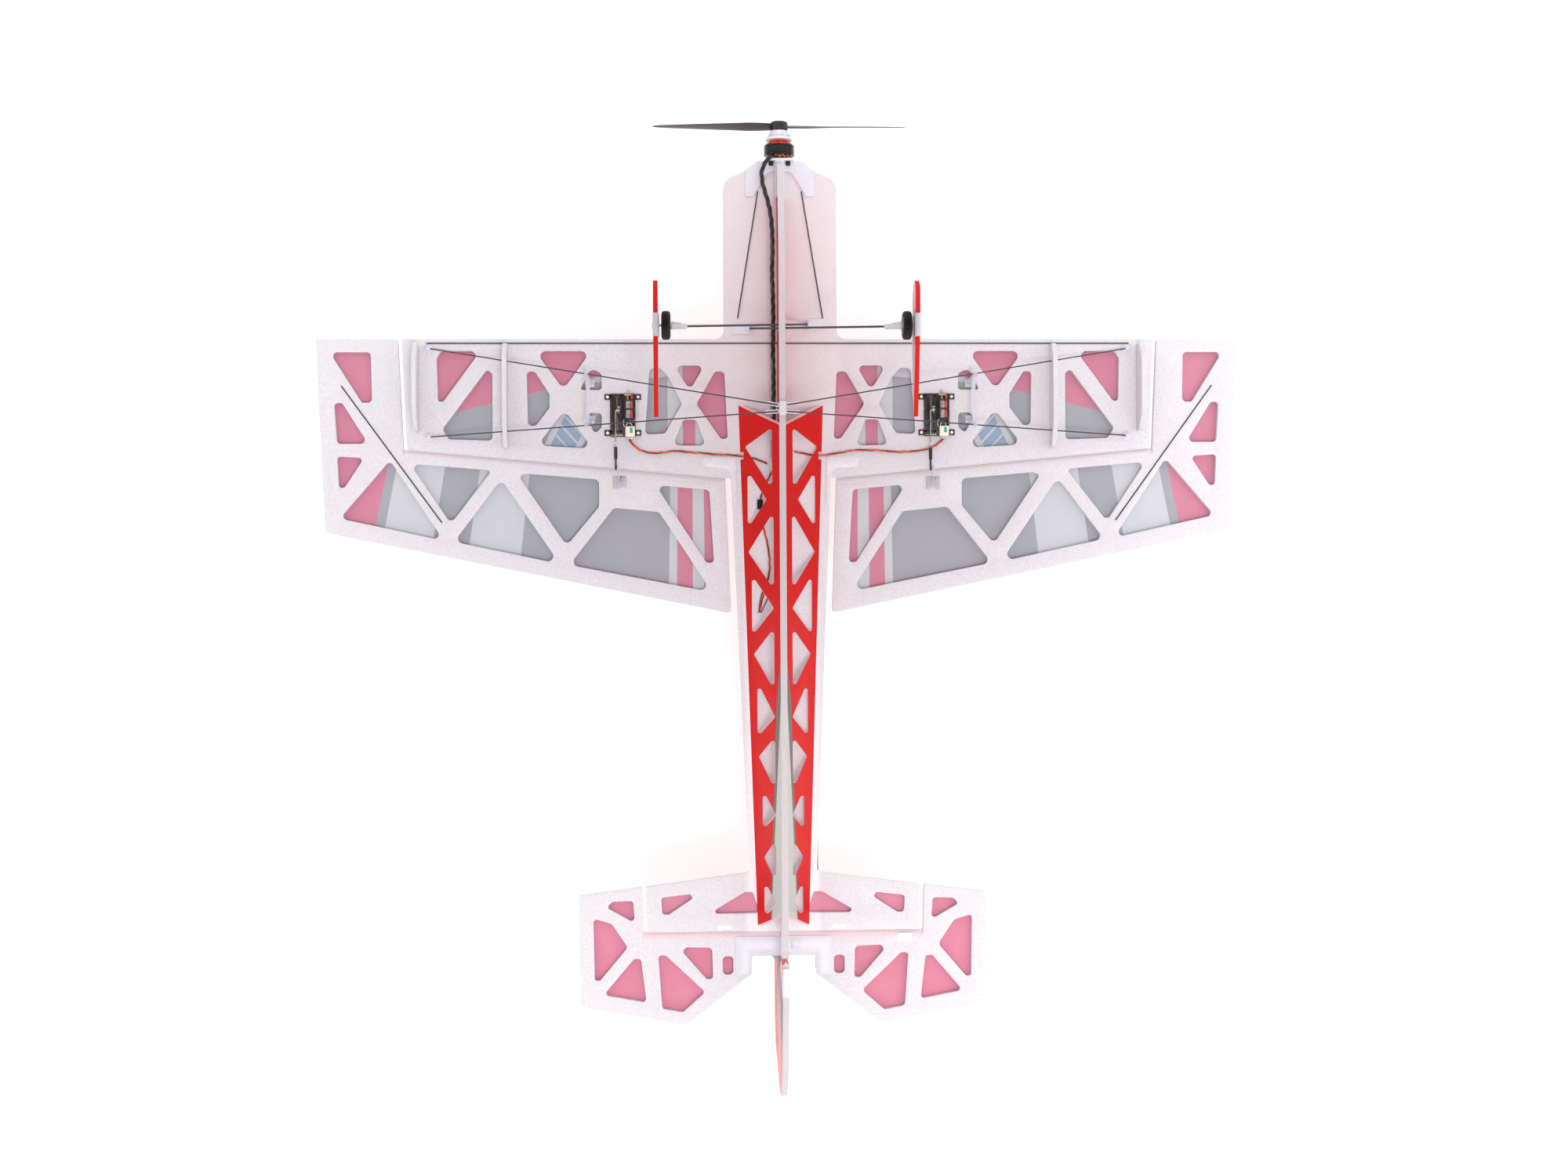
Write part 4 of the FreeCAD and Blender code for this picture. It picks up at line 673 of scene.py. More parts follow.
def add_tape(name, node, places):
    """White tape marks under the tail; places are (x from, x to, y from, y to)."""
    tape = Build()
    for x0, x1, y0, y1 in places:
        tape.box((x0, y0, PLATE_LOW - 0.12), (x1, y1, PLATE_LOW + 0.1), WHITE_MARK, 0.04)
    tape.finish(node, name)


add_tape("hinge_tape", "foam_plate", ((-61.5, -48.5, 294.2, 297.6), (45.5, 58.5, 294.2, 297.6)))
low, high = corners_of("elevator")
top_z, bottom_z = high.z - 0.1, low.z + 0.05
BRIDGE_INNER, BRIDGE_OUTER = 4.6, 30.2
# the bridges take the tail hinge foam with its painted light
bridge = Build()
for sign in (1, -1):
    bridge.loft([[Vector((sign * across, y, z)) for y, z in
                  ((300.7, top_z), (306.3, bottom_z), (309, bottom_z), (309, top_z))]
                 for across in (BRIDGE_INNER, BRIDGE_OUTER)], TAIL_HINGE_FOAM)
bridge.finish("elevator", "elevator_bridge")
add_tape("elevator_tape", "elevator", ((107, 120, 303, 311),))

# ---- plastic fittings

for fitting, width, material in (
    ("rudder_shoe", 0.3, WHITE), ("motor_mount", 0.35, WHITE), ("gear_sockets", 0.3, WHITE),
    ("strut_anchors", 0.35, WHITE), ("axle_hubs", 0.4, WHITE), ("aileron_horn_left", 0.2, CLEAR),
    ("aileron_horn_right", 0.2, CLEAR), ("elevator_horn", 0.2, CLEAR), ("rudder_horn", 0.2, CLEAR),
    ("elevator_joiner", 0.2, FROSTED), ("root_doublers", 0.15, DOUBLER),
):
    rounded(fitting, width, [material])

low = corners_of("elevator_joiner")[0]
boss = Build()
boss.box((6.5, low.y + 2, low.z - 0.35), (16, low.y + 12, low.z + 0.2), FROSTED, 0.3)
boss.box((8, low.y + 3.5, low.z - 0.6), (14.5, low.y + 10.5, low.z), FROSTED, 0.2)
boss.finish("elevator_joiner", "joiner_boss")

STRUT_INNER_X = 4.5
STRUT_RADIUS = 0.6
STRUT_LIFT = Vector((0, 0, 0.9))
strut_low, strut_high = corners_of("wing_struts")
clamp_low, clamp_high = corners_of("strut_clamp")
clamp_middle_y = (clamp_low.y + clamp_high.y) / 2
STRUT_LINES = []
for sign in (1, -1):
    for offset, outer_y in ((-3, strut_low.y + STRUT_RADIUS), (3, strut_high.y - STRUT_RADIUS)):
        inner = Vector((sign * STRUT_INNER_X, clamp_middle_y + offset, strut_low.z + STRUT_RADIUS))
        outer = Vector((sign * strut_high.x, outer_y, strut_high.z - STRUT_RADIUS))
        STRUT_LINES.append((inner, outer))

clamp = Build()
BLOCK_HALF = 3.2
clamp.box((-BLOCK_HALF, clamp_middle_y - 6.5, strut_low.z - 1.6),
          (BLOCK_HALF, clamp_middle_y + 6.5, strut_low.z + 2.9), WHITE, 0.6)
for inner, outer in STRUT_LINES:
    along = (outer - inner).normalized()
    aside = along.cross(Vector((0, 0, 1))).normalized()
    for shift in (-1.25, 1.25):
        start = inner - along * 2 + aside * shift
        clamp.tube([start, start + along * 13.5], 0.55, WHITE, 8)
    clamp.tube([inner - along * 2 + STRUT_LIFT, inner + along * 11.5 + STRUT_LIFT], 0.7, WHITE, 8)
clamp.finish("strut_clamp")


def on_strut(line, across):
    """The point of a strut at a distance from the centreline."""
    inner, outer = line
    share = (across - STRUT_INNER_X) / (abs(outer.x) - STRUT_INNER_X)
    return inner + (outer - inner) * share


BRACE_X = 180
HALF_DEEP = Vector((0, 0, 0.5))
HALF_THICK = Vector((0, 0.5, 0))
braces = Build()
for front_line, rear_line in (STRUT_LINES[:2], STRUT_LINES[2:]):
    front, rear = on_strut(front_line, BRACE_X), on_strut(rear_line, BRACE_X)
    sign = 1 if front.x > 0 else -1
    for point in (front, rear):
        braces.lathe(point + Vector((0, 0, -1.4)), (0, 0, 1),
                     [(0, 0), (0, 1.5), (0.5, 2.0), (2.6, 2.0), (3.0, 1.5), (3.0, 0)], CLEAR, 20)
    places = []
    for i in range(9):
        middle = front.lerp(rear, i / 8) + Vector((-sign * 2.2 * sin(pi * i / 8), 0, 0.9))
        places.append((middle - HALF_DEEP, middle + HALF_DEEP, Vector((1.9, 0, 0))))
    braces.bar(places, CLEAR)
    for point, lean in ((front, 7), (rear, -7)):
        foot = Vector((point.x - sign * 4, point.y + lean, PLATE_LOW - 0.4))
        braces.bar([(top - HALF_THICK, top + HALF_THICK, Vector((1.6, 0, 0)))
                    for top in (point + STRUT_LIFT, foot)], CLEAR)
        braces.box(foot + Vector((-3, -3.5, -0.4)), foot + Vector((3, 3.5, 0.4)), CLEAR, 0.3)
braces.finish("strut_braces")

# ---- motor and propeller

FORWARD = Vector((0, -1, 0))
mount_low = corners_of("motor_mount")[0]
rotor_low, rotor_high = corners_of("motor_rotor")
THRUST = (rotor_low.z + rotor_high.z) / 2
FACE_Y = mount_low.y + 2.2

cap = Build()
cap.box((-4.3, FACE_Y - 0.6, mount_low.z), (4.3, FACE_Y + 3.2, mount_low.z + 7), WHITE, 0.8)
cap.finish("motor_mount", "mount_cap")


def station(distance):
    """A point of the thrust line at a distance ahead of the nose."""
    return Vector((0, FACE_Y - distance, THRUST))


def turned(build, profile, material, steps=40, wrap=False):
    """A turned solid on the thrust line; the profile's distances start at the nose."""
    build.lathe(station(0), FORWARD, profile, material, steps, wrap)


def around(centre, radius, angle):
    """A point at a radius and angle round the thrust line."""
    return centre + Vector((cos(angle), 0, sin(angle))) * radius


def tangent(angle):
    """The direction round the thrust line at an angle."""
    return Vector((-sin(angle), 0, cos(angle)))


def radial_block(build, distance, depth, inner, outer, width, angle, material):
    """A block that points outwards from the thrust line."""
    across = tangent(angle) * width / 2
    near, far = station(distance), station(distance + depth)
    build.bar([(around(near, reach, angle), around(far, reach, angle), across) for reach in (inner, outer)],
              material)


COILS = 12
stator = Build()
turned(stator, [(2.2, 0), (2.2, 6.0), (2.6, 6.4), (3.6, 6.4), (4.0, 6.0), (4.0, 0)], ORANGE)
for i in range(4):
    angle = pi / 4 + i * pi / 2
    radial_block(stator, 2.2, 1.5, 3, 11.4, 3.6, angle, ORANGE)
    stator.lathe(around(station(2.0), 9.6, angle), FORWARD,
                 [(0, 0), (0, 1.5), (1.7, 1.5), (2.2, 1.1), (2.2, 0)], DARK_STEEL, 16)
turned(stator, [(2.5, 2.2), (2.5, 8.6), (3.4, 9.2), (3.9, 9.0), (3.9, 2.2)], ORANGE, 40, True)
turned(stator, [(3.8, 2.2), (3.8, 5.2), (15.2, 5.2), (15.2, 2.2)], DARK_STEEL, 32, True)
for angle in turns(COILS):
    radial_block(stator, 5.6, 9.0, 5.0, 11.2, 1.7, angle, DARK_STEEL)
    loop = []
    for turn in [*turns(16), 2 * pi]:
        loop.append(around(station(9.9 + 5.6 * sin(turn)), 8.6, angle) + tangent(angle) * cos(turn) * 1.6)
    for layer in (-1.3, 0.0, 1.3):
        stator.tube([around(point, layer, angle) for point in loop], 0.72, COPPER, 6)
stator.finish("motor_stator")

rotor = Build()
turned(rotor, [(6.1, 12.5), (6.1, 13.8), (6.4, 14.15), (7.7, 14.15), (7.9, 13.95), (8.1, 13.95), (8.3, 14.15),
               (14.2, 14.15), (14.4, 13.95), (14.7, 13.95), (14.9, 14.15), (15.6, 14.1), (16.0, 13.6),
               (16.0, 12.5)], BLACK_METAL, 64, True)
turned(rotor, [(15.6, 11.6), (15.6, 13.5), (16.6, 13.2), (17.4, 12.4), (17.4, 11.6)], ORANGE, 64, True)
turned(rotor, [(16.8, 1.5), (16.8, 6.2), (19.2, 8.8), (20.4, 9.0), (20.5, 1.5)], ORANGE, 48, True)
SPOKES = 9
for angle in turns(SPOKES):
    rotor.bar([(around(station(low), reach, angle), around(station(high), reach, angle), tangent(angle) * 1.3)
               for reach, low, high in ((5.5, 17.2, 19.6), (9.0, 17.0, 19.2), (12.6, 15.8, 17.3))], ORANGE)
turned(rotor, [(1.2, 0), (1.2, 1.3), (1.5, 1.5), (37.7, 1.5), (38.0, 1.3), (38.0, 0)], STEEL, 24)
turned(rotor, [(6.3, 11.7), (6.3, 12.6), (15.4, 12.6), (15.4, 11.7)], STEEL, 48, True)
rotor.finish("motor_rotor")

adapter = Build()
turned(adapter, [(20.5, 1.5), (20.5, 11.9), (21.0, 12.5), (22.8, 12.5), (23.3, 12.0), (23.4, 9.9),
                 (23.9, 9.5), (28.9, 8.9), (29.4, 8.5), (29.5, 1.5)], WHITE, 56, True)
for i in range(8):
    radial_block(adapter, 23.0, 3.4, 8.5, 11.2, 1.2, 2 * pi * (i + 0.5) / 8, WHITE)
adapter.finish("prop_adapter")

hub_low, hub_high = corners_of("propeller")
PROP_RADIUS = hub_high.x
PROP_DEPTH = 8.5
PROP_PITCH = 75
ROOT_RADIUS = 28
PROP_MIDDLE = hub_low.y + PROP_DEPTH / 2
BLADE_SECTION = (
    (-0.5, 0.02), (-0.44, 0.26), (-0.3, 0.42), (-0.1, 0.5), (0.12, 0.45), (0.32, 0.26), (0.5, 0.03),
    (0.34, -0.14), (0.12, -0.3), (-0.1, -0.4), (-0.3, -0.36), (-0.45, -0.2),
)


def blade_ring(radius, sign):
    """The blade's section at a radius, set at its pitch angle."""
    share = radius / PROP_RADIUS
    chord = 12 * sin(pi * min(1, 0.18 + 0.75 * share)) ** 0.8 + 2.5
    if share > 0.93:
        chord *= sqrt(max(0.02, 1 - ((share - 0.93) / 0.0701) ** 2))
    thickness = 2.5 - 1.75 * share
    pitch = atan2(PROP_PITCH / (2 * pi), max(radius, ROOT_RADIUS))
    ring = []
    for along, upward in BLADE_SECTION:
        flat, height = along * chord, upward * thickness
        z = sign * (flat * cos(pitch) - height * sin(pitch))
        y = -flat * sin(pitch) - height * cos(pitch)
        y = max(-PROP_DEPTH / 2, min(PROP_DEPTH / 2, y))
        ring.append(Vector((sign * radius, PROP_MIDDLE + y, THRUST + z)))
    return ring


propeller = Build()
for sign in (1, -1):
    stations = [5 + (PROP_RADIUS - 5) * (1 - (1 - i / 29) ** 1.35) for i in range(30)]
    propeller.loft([blade_ring(radius, sign) for radius in stations], GREY)
hub_face = Vector((0, hub_low.y, THRUST))
propeller.lathe(hub_face, -FORWARD, [(0, 1.5), (0, 7.4), (0.7, 8.1), (1.2, 8.25), (3.2, 8.25), (3.5, 8.0),
                                     (5.0, 8.0), (5.3, 8.25), (7.6, 8.25), (8.5, 7.6), (8.5, 1.5)],
                GLOSS_BLACK, 48, True)
propeller.lathe(hub_face, -FORWARD, [(0.02, 1.5), (0.02, 4.4), (0.3, 4.6), (0.6, 4.6), (0.6, 1.5)],
                BLACK_METAL, 6, True)
propeller.finish("propeller")

screws = Build()
screw_low, screw_high = corners_of("mount_screws")
for x in (screw_low.x + 2.2, screw_high.x - 2.2):
    for z in (screw_low.z + 2.2, screw_high.z - 2.2):
        screws.lathe((x, screw_low.y, z), -FORWARD, [(0, 0), (0, 2.2), (3.6, 2.2), (4.1, 1.8), (4.1, 1.0),
                                                     (2.6, 0.9), (2.6, 0)], DARK_STEEL, 24)
screws.finish("mount_screws")

# ---- wheels

SPOKE_COUNT = 6
for side, sign in SIDES:
    tyre_low, tyre_high = corners_of(f"tyre_{side}")
    middle = (tyre_low + tyre_high) / 2
    radius = (tyre_high.z - tyre_low.z) / 2
    outward = Vector((sign, 0, 0))
    tyre = Build()
    section = [(-3.7, 8.0), (-4.0, 8.6), (-4.0, radius - 3.2), (-3.7, radius - 1.6), (-3.0, radius - 0.6),
               (-2.0, radius - 0.12), (-1.2, radius), (-0.9, radius - 0.3), (-0.6, radius), (0.6, radius),
               (0.9, radius - 0.3), (1.2, radius), (2.0, radius - 0.12), (3.0, radius - 0.6),
               (3.7, radius - 1.6), (4.0, radius - 3.2), (4.0, 8.6), (3.7, 8.0)]
    tyre.lathe(middle, outward, section, RUBBER, 72, True)
    tyre.finish(f"tyre_{side}")
    rim = Build()
    rim.lathe(middle, outward, [(-3.6, 6.9), (-3.6, 7.9), (3.6, 7.9), (3.6, 6.9), (2.8, 6.6), (-2.8, 6.6)],
              WHITE, 56, True)
    rim.lathe(middle, outward, [(-4, 1.08), (-4, 2.6), (-3.6, 3.0), (3.6, 3.0), (4, 2.6), (4, 1.08)],
              WHITE, 32, True)
    for angle in turns(SPOKE_COUNT):
        reach = Vector((0, cos(angle), sin(angle)))
        across = Vector((0, -sin(angle), cos(angle))) * 0.9
        rim.bar([(middle + reach * distance - outward, middle + reach * distance + outward, across)
                 for distance in (2.4, 7.0)], WHITE)
    rim.finish(f"wheel_rim_{side}")

PANT_HALF = 2
clamps = Build()
clamp_low, clamp_high = corners_of("pant_clamps")
pants_high = corners_of("wheel_pants")[1]
axle_y, axle_z = (clamp_low.y + clamp_high.y) / 2, (clamp_low.z + clamp_high.z) / 2
for sign in (1, -1):
    middle_x = sign * (pants_high.x - PANT_HALF)
    ends = sorted((middle_x - sign * (PANT_HALF + 1.2), middle_x + sign * (PANT_HALF + 0.3)))
    clamps.box((ends[0], axle_y - 10, axle_z - 9.6), (ends[1], axle_y + 10, axle_z + 8), WHITE, 0.8)
    clamps.lathe((ends[0] if sign < 0 else ends[1], axle_y, axle_z), (sign, 0, 0),
                 [(0, 0), (0, 3.2), (0.5, 3.0), (0.8, 2.2), (0.8, 0)], WHITE, 24)
clamps.finish("pant_clamps")

# ---- servos and linkages


def add_servo(build, ear_sides=(-1, 1)):
    """A linear servo in its own axes: x across, y along, z up from the surface that it sits on."""
    box, tube, lathe = build.box, build.tube, build.lathe
    box((-11.8, -20, 0), (11.8, 20, 1.3), BOARD, 0.15)
    for x, y in [(ear_side * 14.2, end) for ear_side in ear_sides for end in (-17, 16.5)]:
        box((x - 2.8, y - 2.7, 0), (x + 2.8, y + 2.7, 1.35), BLACK, 0.3)
        head = CREAM if x * y > 0 else WHITE_MARK
        lathe((x, y, 1.3), (0, 0, 1), [(0, 0), (0, 1.45), (0.35, 1.4), (0.7, 0.8), (0.75, 0)], head, 16)
    box((-11.6, -19.2, 1.1), (-0.6, 17, 2.1), BLACK, 0.2)
    for x0, x1 in ((-11.6, -9.2), (-2.8, -0.7)):
        box((x0, -19, 1.6), (x1, 16.8, 3.2), BLACK, 0.35)
    for y0, y1 in ((-19.2, -16.4), (14.2, 17.0)):
        box((-11.6, y0, 1.6), (-0.6, y1, 3.2), BLACK, 0.3)
    tube([(-5.2, -16.6, 2.6), (-5.2, 14.4, 2.6)], 0.5, BRASS, 10)
    tube([(-7.8, -16.6, 2.4), (-7.8, 14.4, 2.4)], 0.35, DARK_STEEL, 8)
    box((0.9, -19.2, 1.1), (11.6, 6.4, 2.0), BLACK, 0.2)
    box((10.4, -19.0, 1.6), (11.7, 10.5, 5.6), BLACK, 0.35)
    box((0.9, -15.0, 1.6), (1.9, 6.4, 5.2), BLACK, 0.3)
    for y0, y1 in ((-14.2, -12.4), (-6.4, -4.2), (2.9, 5.0)):
        box((1.0, y0, 1.6), (11.0, y1, 7.3), BLACK, 0.5)
    for y0, y1 in ((-12.6, -6.2), (-4.4, 3.0)):
        lathe((5.2, y0, 4.1), (0, 1, 0), [(0, 0), (0, 3.1), (y1 - y0, 3.1), (y1 - y0, 0)], MOTOR_CAN, 28)
        box((7.4, y0, 4.6), (9.4, y1, 6.9), RED_MARK, 0.3)
        box((9.4, y0, 4.2), (10.6, y1, 6.3), DARK_STEEL, 0.3)
    lathe((4.8, -19.0, 3.9), -FORWARD, [(0, 0), (0, 2.6), (1.2, 2.6), (1.4, 1.4), (4.8, 1.4), (4.8, 0)],
          BRASS, 14)
    for turn in turns(14):
        tooth = Vector((4.8 + 2.7 * cos(turn), -18.6, 3.9 + 2.7 * sin(turn)))
        box(tooth - Vector((0.25, 0.5, 0.25)), tooth + Vector((0.25, 0.5, 0.25)), WHITE_MARK, 0.08)
    box((7.6, -18.8, 4.0), (9.6, -14.6, 6.4), RED_MARK, 0.3)
    tube([(1.2, 3.9, 6.6), (9.6, 3.9, 6.9), (11.2, 5.2, 5.4), (11.4, 9.0, 3.6), (10.6, 12.6, 2.6)], 0.32,
         WHITE_MARK, 8)
    tube([(1.3, 4.2, 6.2), (0.4, 7.4, 4.2), (1.4, 11.0, 2.9)], 0.28, WHITE_MARK, 8)
    tube([(3.0, 11.0, 2.8), (3.6, 8.6, 4.2), (5.6, 7.2, 4.9), (7.8, 8.2, 4.4), (9.0, 10.6, 3.2)], 0.34,
         WHITE_MARK, 8)
    box((3.2, 6.8, 1.2), (8.6, 10.0, 2.5), BLACK, 0.2)
    chips = random.Random(7)
    for x, y in ((-10.2, 18.4), (-8.0, 18.6), (-5.6, 18.2), (-3.4, 18.6), (-1.2, 18.4), (-11.4, -6),
                 (-11.4, 2)):
        tone = chips.choice((CREAM, STEEL, BRASS, WHITE_MARK))
        box((x - 0.7, y - 0.5, 1.2), (x + 0.7, y + 0.5, 1.9), tone, 0.12)
    box((2.4, 10.6, 1.2), (11.2, 20.0, 5.4), CREAM, 0.5)
    box((6.6, 11.8, 5.0), (9.2, 16.8, 5.7), TEAL, 0.15)
    box((3.4, 19.6, 1.8), (10.2, 22.4, 4.8), CLEAR, 0.4)
    box((3.6, -24.0, 0.0), (6.4, -21.6, 2.2), CLEAR, 0.5)


def add_pushrod(node, hook_side, across):
    """A steel wire with a bent hook at the carriage, a collar, and a black link with an eye."""
    low, high = corners_of(node)
    middle = (low + high) / 2
    pivot = Vector((middle.x, high.y - 2, middle.z))
    carriage = Vector((middle.x, low.y, middle.z))
    ahead = (carriage - pivot).normalized()
    aside, across = Vector(hook_side), Vector(across)

    def at(distance):
        return pivot + ahead * distance

    build = Build()
    hook = [carriage + aside * 4.2, carriage + aside * 1.3, carriage - ahead * 0.2 + aside * 0.6,
            carriage - ahead * 0.7 + aside * 0.15, carriage - ahead * 1.5, carriage - ahead * 3.0]
    build.tube(hook + [at(17)], 0.6, STEEL, 10)
    build.tube([at(21.5), at(23.6)], 0.95, WHITE, 12)
    build.tube([at(19), at(18.7), at(8.2), at(7.6)], [1.2, 1.6, 1.6, 1.0], BLACK, 16)
    build.tube([at(8), at(5), at(3.4)], [1.0, 0.8, 0.9], BLACK, 12)
    build.lathe(pivot - across * 0.9, across,
                [(0, 0.7), (0, 1.9), (0.25, 2.1), (1.55, 2.1), (1.8, 1.9), (1.8, 0.7)], BLACK, 24, True)
    build.tube([at(3.6), at(1.8)], 0.85, BLACK, 12)
    build.lathe(pivot - across * 1.3, across, [(0, 0), (0, 0.65), (4.6, 0.65), (4.6, 0)], STEEL, 14)
    build.finish(node)


servos_low, servos_high = corners_of("aileron_servos")
SERVO_HALF_WIDTH = 17
SERVO_HALF_LENGTH = 20
servo_centres = {"left": servos_high.x - SERVO_HALF_WIDTH, "right": servos_low.x + SERVO_HALF_WIDTH}
servo_y = servos_low.y + SERVO_HALF_LENGTH
for side, sign in SIDES:
    centre_x = servo_centres[side]
    servo = Build(lambda p, cx=centre_x: (cx + p.x, servo_y + p.y, PLATE_LOW - p.z))
    add_servo(servo)
    servo.finish("aileron_servos", f"aileron_servo_{side}_looks", True)

low, high = corners_of("elevator_servo")
servo = Build(lambda p: ((low.x + high.x) / 2 + p.x, low.y + SERVO_HALF_LENGTH + p.y, low.z + p.z))
add_servo(servo, (-1,))
servo.finish("elevator_servo")
low, high = corners_of("rudder_servo")
servo = Build(lambda p: (high.x - p.z, low.y + SERVO_HALF_LENGTH + p.y, high.z - 12 - p.x))
add_servo(servo)
servo.finish("rudder_servo")

HOOK_GAP = 1.1
for side, sign in SIDES:
    low, high = corners_of(f"servo_carriage_{side}")
    middle = (low + high) / 2
    carriage = Build()
    for direction in (-1, 1):
        inner, outer = sorted((middle.y + direction * HOOK_GAP, middle.y + direction * 5))
        carriage.box((low.x, inner, high.z - 1.2), (high.x, outer, high.z), BLACK, 0.25)
        for shift in (2.4, 4.0):
            ridge = middle.y + direction * shift
            carriage.box((low.x + 0.3, ridge - 0.5, high.z - 1.8), (high.x - 0.3, ridge + 0.5, high.z - 1.0),
                         BLACK, 0.2)
        inner, outer = sorted((middle.y + direction * HOOK_GAP, middle.y + direction * 2.6))
        carriage.box((low.x, inner, low.z), (low.x + 1.7, outer, high.z - 1.0), STEEL, 0.3)
    carriage.box((high.x - 1.4, low.y, high.z - 1.2), (high.x, high.y, high.z), BLACK, 0.2)
    carriage.box((low.x, middle.y - 2.6, low.z), (low.x + 1.7, middle.y + 2.6, low.z + 0.5), STEEL, 0.2)
    carriage.box((low.x + 0.1, middle.y - 3.6, low.z + 2.2), (low.x + 2.4, middle.y - 2.7, high.z - 1.0),
                 WHITE, 0.2)
    carriage.finish(f"servo_carriage_{side}")
    add_pushrod(f"aileron_pushrod_{side}", (1, 0, 0), (1, 0, 0))
add_pushrod("elevator_pushrod", (-1, 0, 0), (1, 0, 0))
add_pushrod("rudder_pushrod", (0, 0, 0.45), (0, 0, 1))
rounded("elevator_carriage", 0.3, [BLACK])
rounded("rudder_carriage", 0.25, [BLACK])

# ---- carbon rods on the ailerons

ROD_OUTER = Vector((406.6, -209.5, 0))
ROD_INNER = Vector((314.8, -82.7, 0))
for side, sign in SIDES:
    stiffener = Build(lambda p, s=sign: (s * p.x, p.y, p.z))
    height = Vector((0, 0, PLATE_LOW - 0.35))
    stiffener.tube([ROD_OUTER + height, ROD_OUTER.lerp(ROD_INNER, 0.5) + height, ROD_INNER + height], 0.6,
                   CARBON, 12)
    rod_piece = stiffener.finish(f"aileron_{side}", f"aileron_rod_{side}")

# ---- wires


def smooth_line(points):
    """Points along the smooth line that a wire takes past its route's points."""
    curve = bpy.data.curves.new("route", "CURVE")
    curve.dimensions = "3D"
    spline = curve.splines.new("NURBS")
    spline.points.add(len(points) - 1)
    for target, point in zip(spline.points, points):
        target.co = (*point, 1)
    spline.order_u = 3
    spline.use_endpoint_u = True
    spline.resolution_u = 10
    holder = bpy.data.objects.new("route", curve)
    line_mesh = bpy.data.meshes.new_from_object(holder)
    line = [vert.co.copy() for vert in line_mesh.vertices]
    bpy.data.objects.remove(holder)
    bpy.data.meshes.remove(line_mesh)
    return line


def add_twist(build, line, strand, offset, pitch, materials):
    """Strands wound round a line, one for each material."""
    walked = 0.0
    wound = []
    for i, point in enumerate(line):
        if i:
            walked += (point - line[i - 1]).length
        wound.append(2 * pi * walked / pitch)
    for k, material in enumerate(materials):
        points = []
        for point, turn, (side, over) in zip(line, wound, path_frames(line)):
            angle = turn + 2 * pi * k / len(materials)
            points.append(point + (side * cos(angle) + over * sin(angle)) * offset)
        build.tube(points, strand, material, 8)


LEAD_Z = PLATE_LOW - 1.2


def held(route):
    """A lead's smooth line; the third number of a point is its depth below LEAD_Z."""
    return smooth_line([(x, y, LEAD_Z - depth) for x, y, depth in route])


RIGHT_LEAD = [
    (-142, -161.2, 2.4), (-138.5, -154.5, 0.9), (-127, -147, 0), (-114, -146.5, 0.2), (-98, -149, 0),
    (-82, -147, 0.3), (-62, -145.5, 0), (-48, -144.5, 0.4), (-38, -143.8, 0.3), (-26, -142, 1.4),
    (-13, -136.5, 3),
]
LEFT_LEAD = [
    (153, -161, 2.2), (149, -155.5, 0.5), (140, -150.5, 0), (122, -147, 0.2), (104, -147.5, 0),
    (88, -149, 0.3), (70, -149.2, 0), (54, -146.5, 0.4), (40, -143.8, 0.3), (28, -144.2, 1.2),
    (12, -147.5, 3),
]
POWER_ROUTE = [
    (-9, -420.5, 128.5), (-13, -416, 127), (-17.5, -407, 125), (-16.5, -394, 124), (-12, -380, 122),
    (-8.4, -362, 121), (-7.4, -338, 122), (-8.3, -312, 122.5), (-7.3, -288, 124), (-7.0, -262, 125.5),
    (-7.8, -238, 125), (-7.0, -212, 126), (-7.4, -188, 127), (-6.8, -165.2, 128),
]
AFT_LEAD = [
    (-6, -133.5, 6.8), (-10, -126, 3.8), (-16.5, -114, 2.3), (-19.5, -104, 1.8), (-20, -94, 1.8),
    (-17.5, -80, 1.3), (-13, -62, 1), (-10.5, -44, 1), (-13, -26, 1.3), (-19, -10, 1.8), (-21, 4, 2.2),
]
LOOSE_LOOP = [
    (-20, 3, 3.2), (-15, -6, 3.6), (-11.5, -17, 3.2), (-15, -22, 2.6), (-20.5, -12, 3), (-21.5, 2, 3.2),
]
leads = Build()
for route in (RIGHT_LEAD, LEFT_LEAD, AFT_LEAD):
    add_twist(leads, held(route), 0.52, 0.58, 26, (RED_WIRE, BROWN_WIRE, ORANGE_WIRE))
BESIDE_LOOP = [(x + 0.9, y - 1.5, depth - 0.6) for x, y, depth in LOOSE_LOOP]
for route, tone in ((LOOSE_LOOP, BROWN_WIRE), (BESIDE_LOOP, RED_WIRE)):
    leads.tube(held(route), 0.5, tone, 8)
leads.box((-22.6, -103, LEAD_Z - 3.4), (-17.2, -94, LEAD_Z - 0.6), DARK_STEEL, 0.5)
leads.box((-23.2, 2.4, LEAD_Z - 4.2), (-18.8, 4.6, LEAD_Z - 0.8), WHITE, 0.4)
leads.finish("servo_leads")
power = Build()
power_line = smooth_line(POWER_ROUTE)
add_twist(power, power_line, 1.05, 1.14, 30, (BLACK_WIRE, BLACK_WIRE, BLACK_WIRE))
for k in range(3):
    foot = power_line[0]
    reach = around(station(3.4), 7.5, radians(215 + 25 * k))
    power.tube([foot, foot.lerp(reach, 0.4) + Vector((0, -1.2, 0)), reach], 0.9, BLACK_WIRE, 8)
power.finish("power_leads")

# ---- radio, speed controller and battery

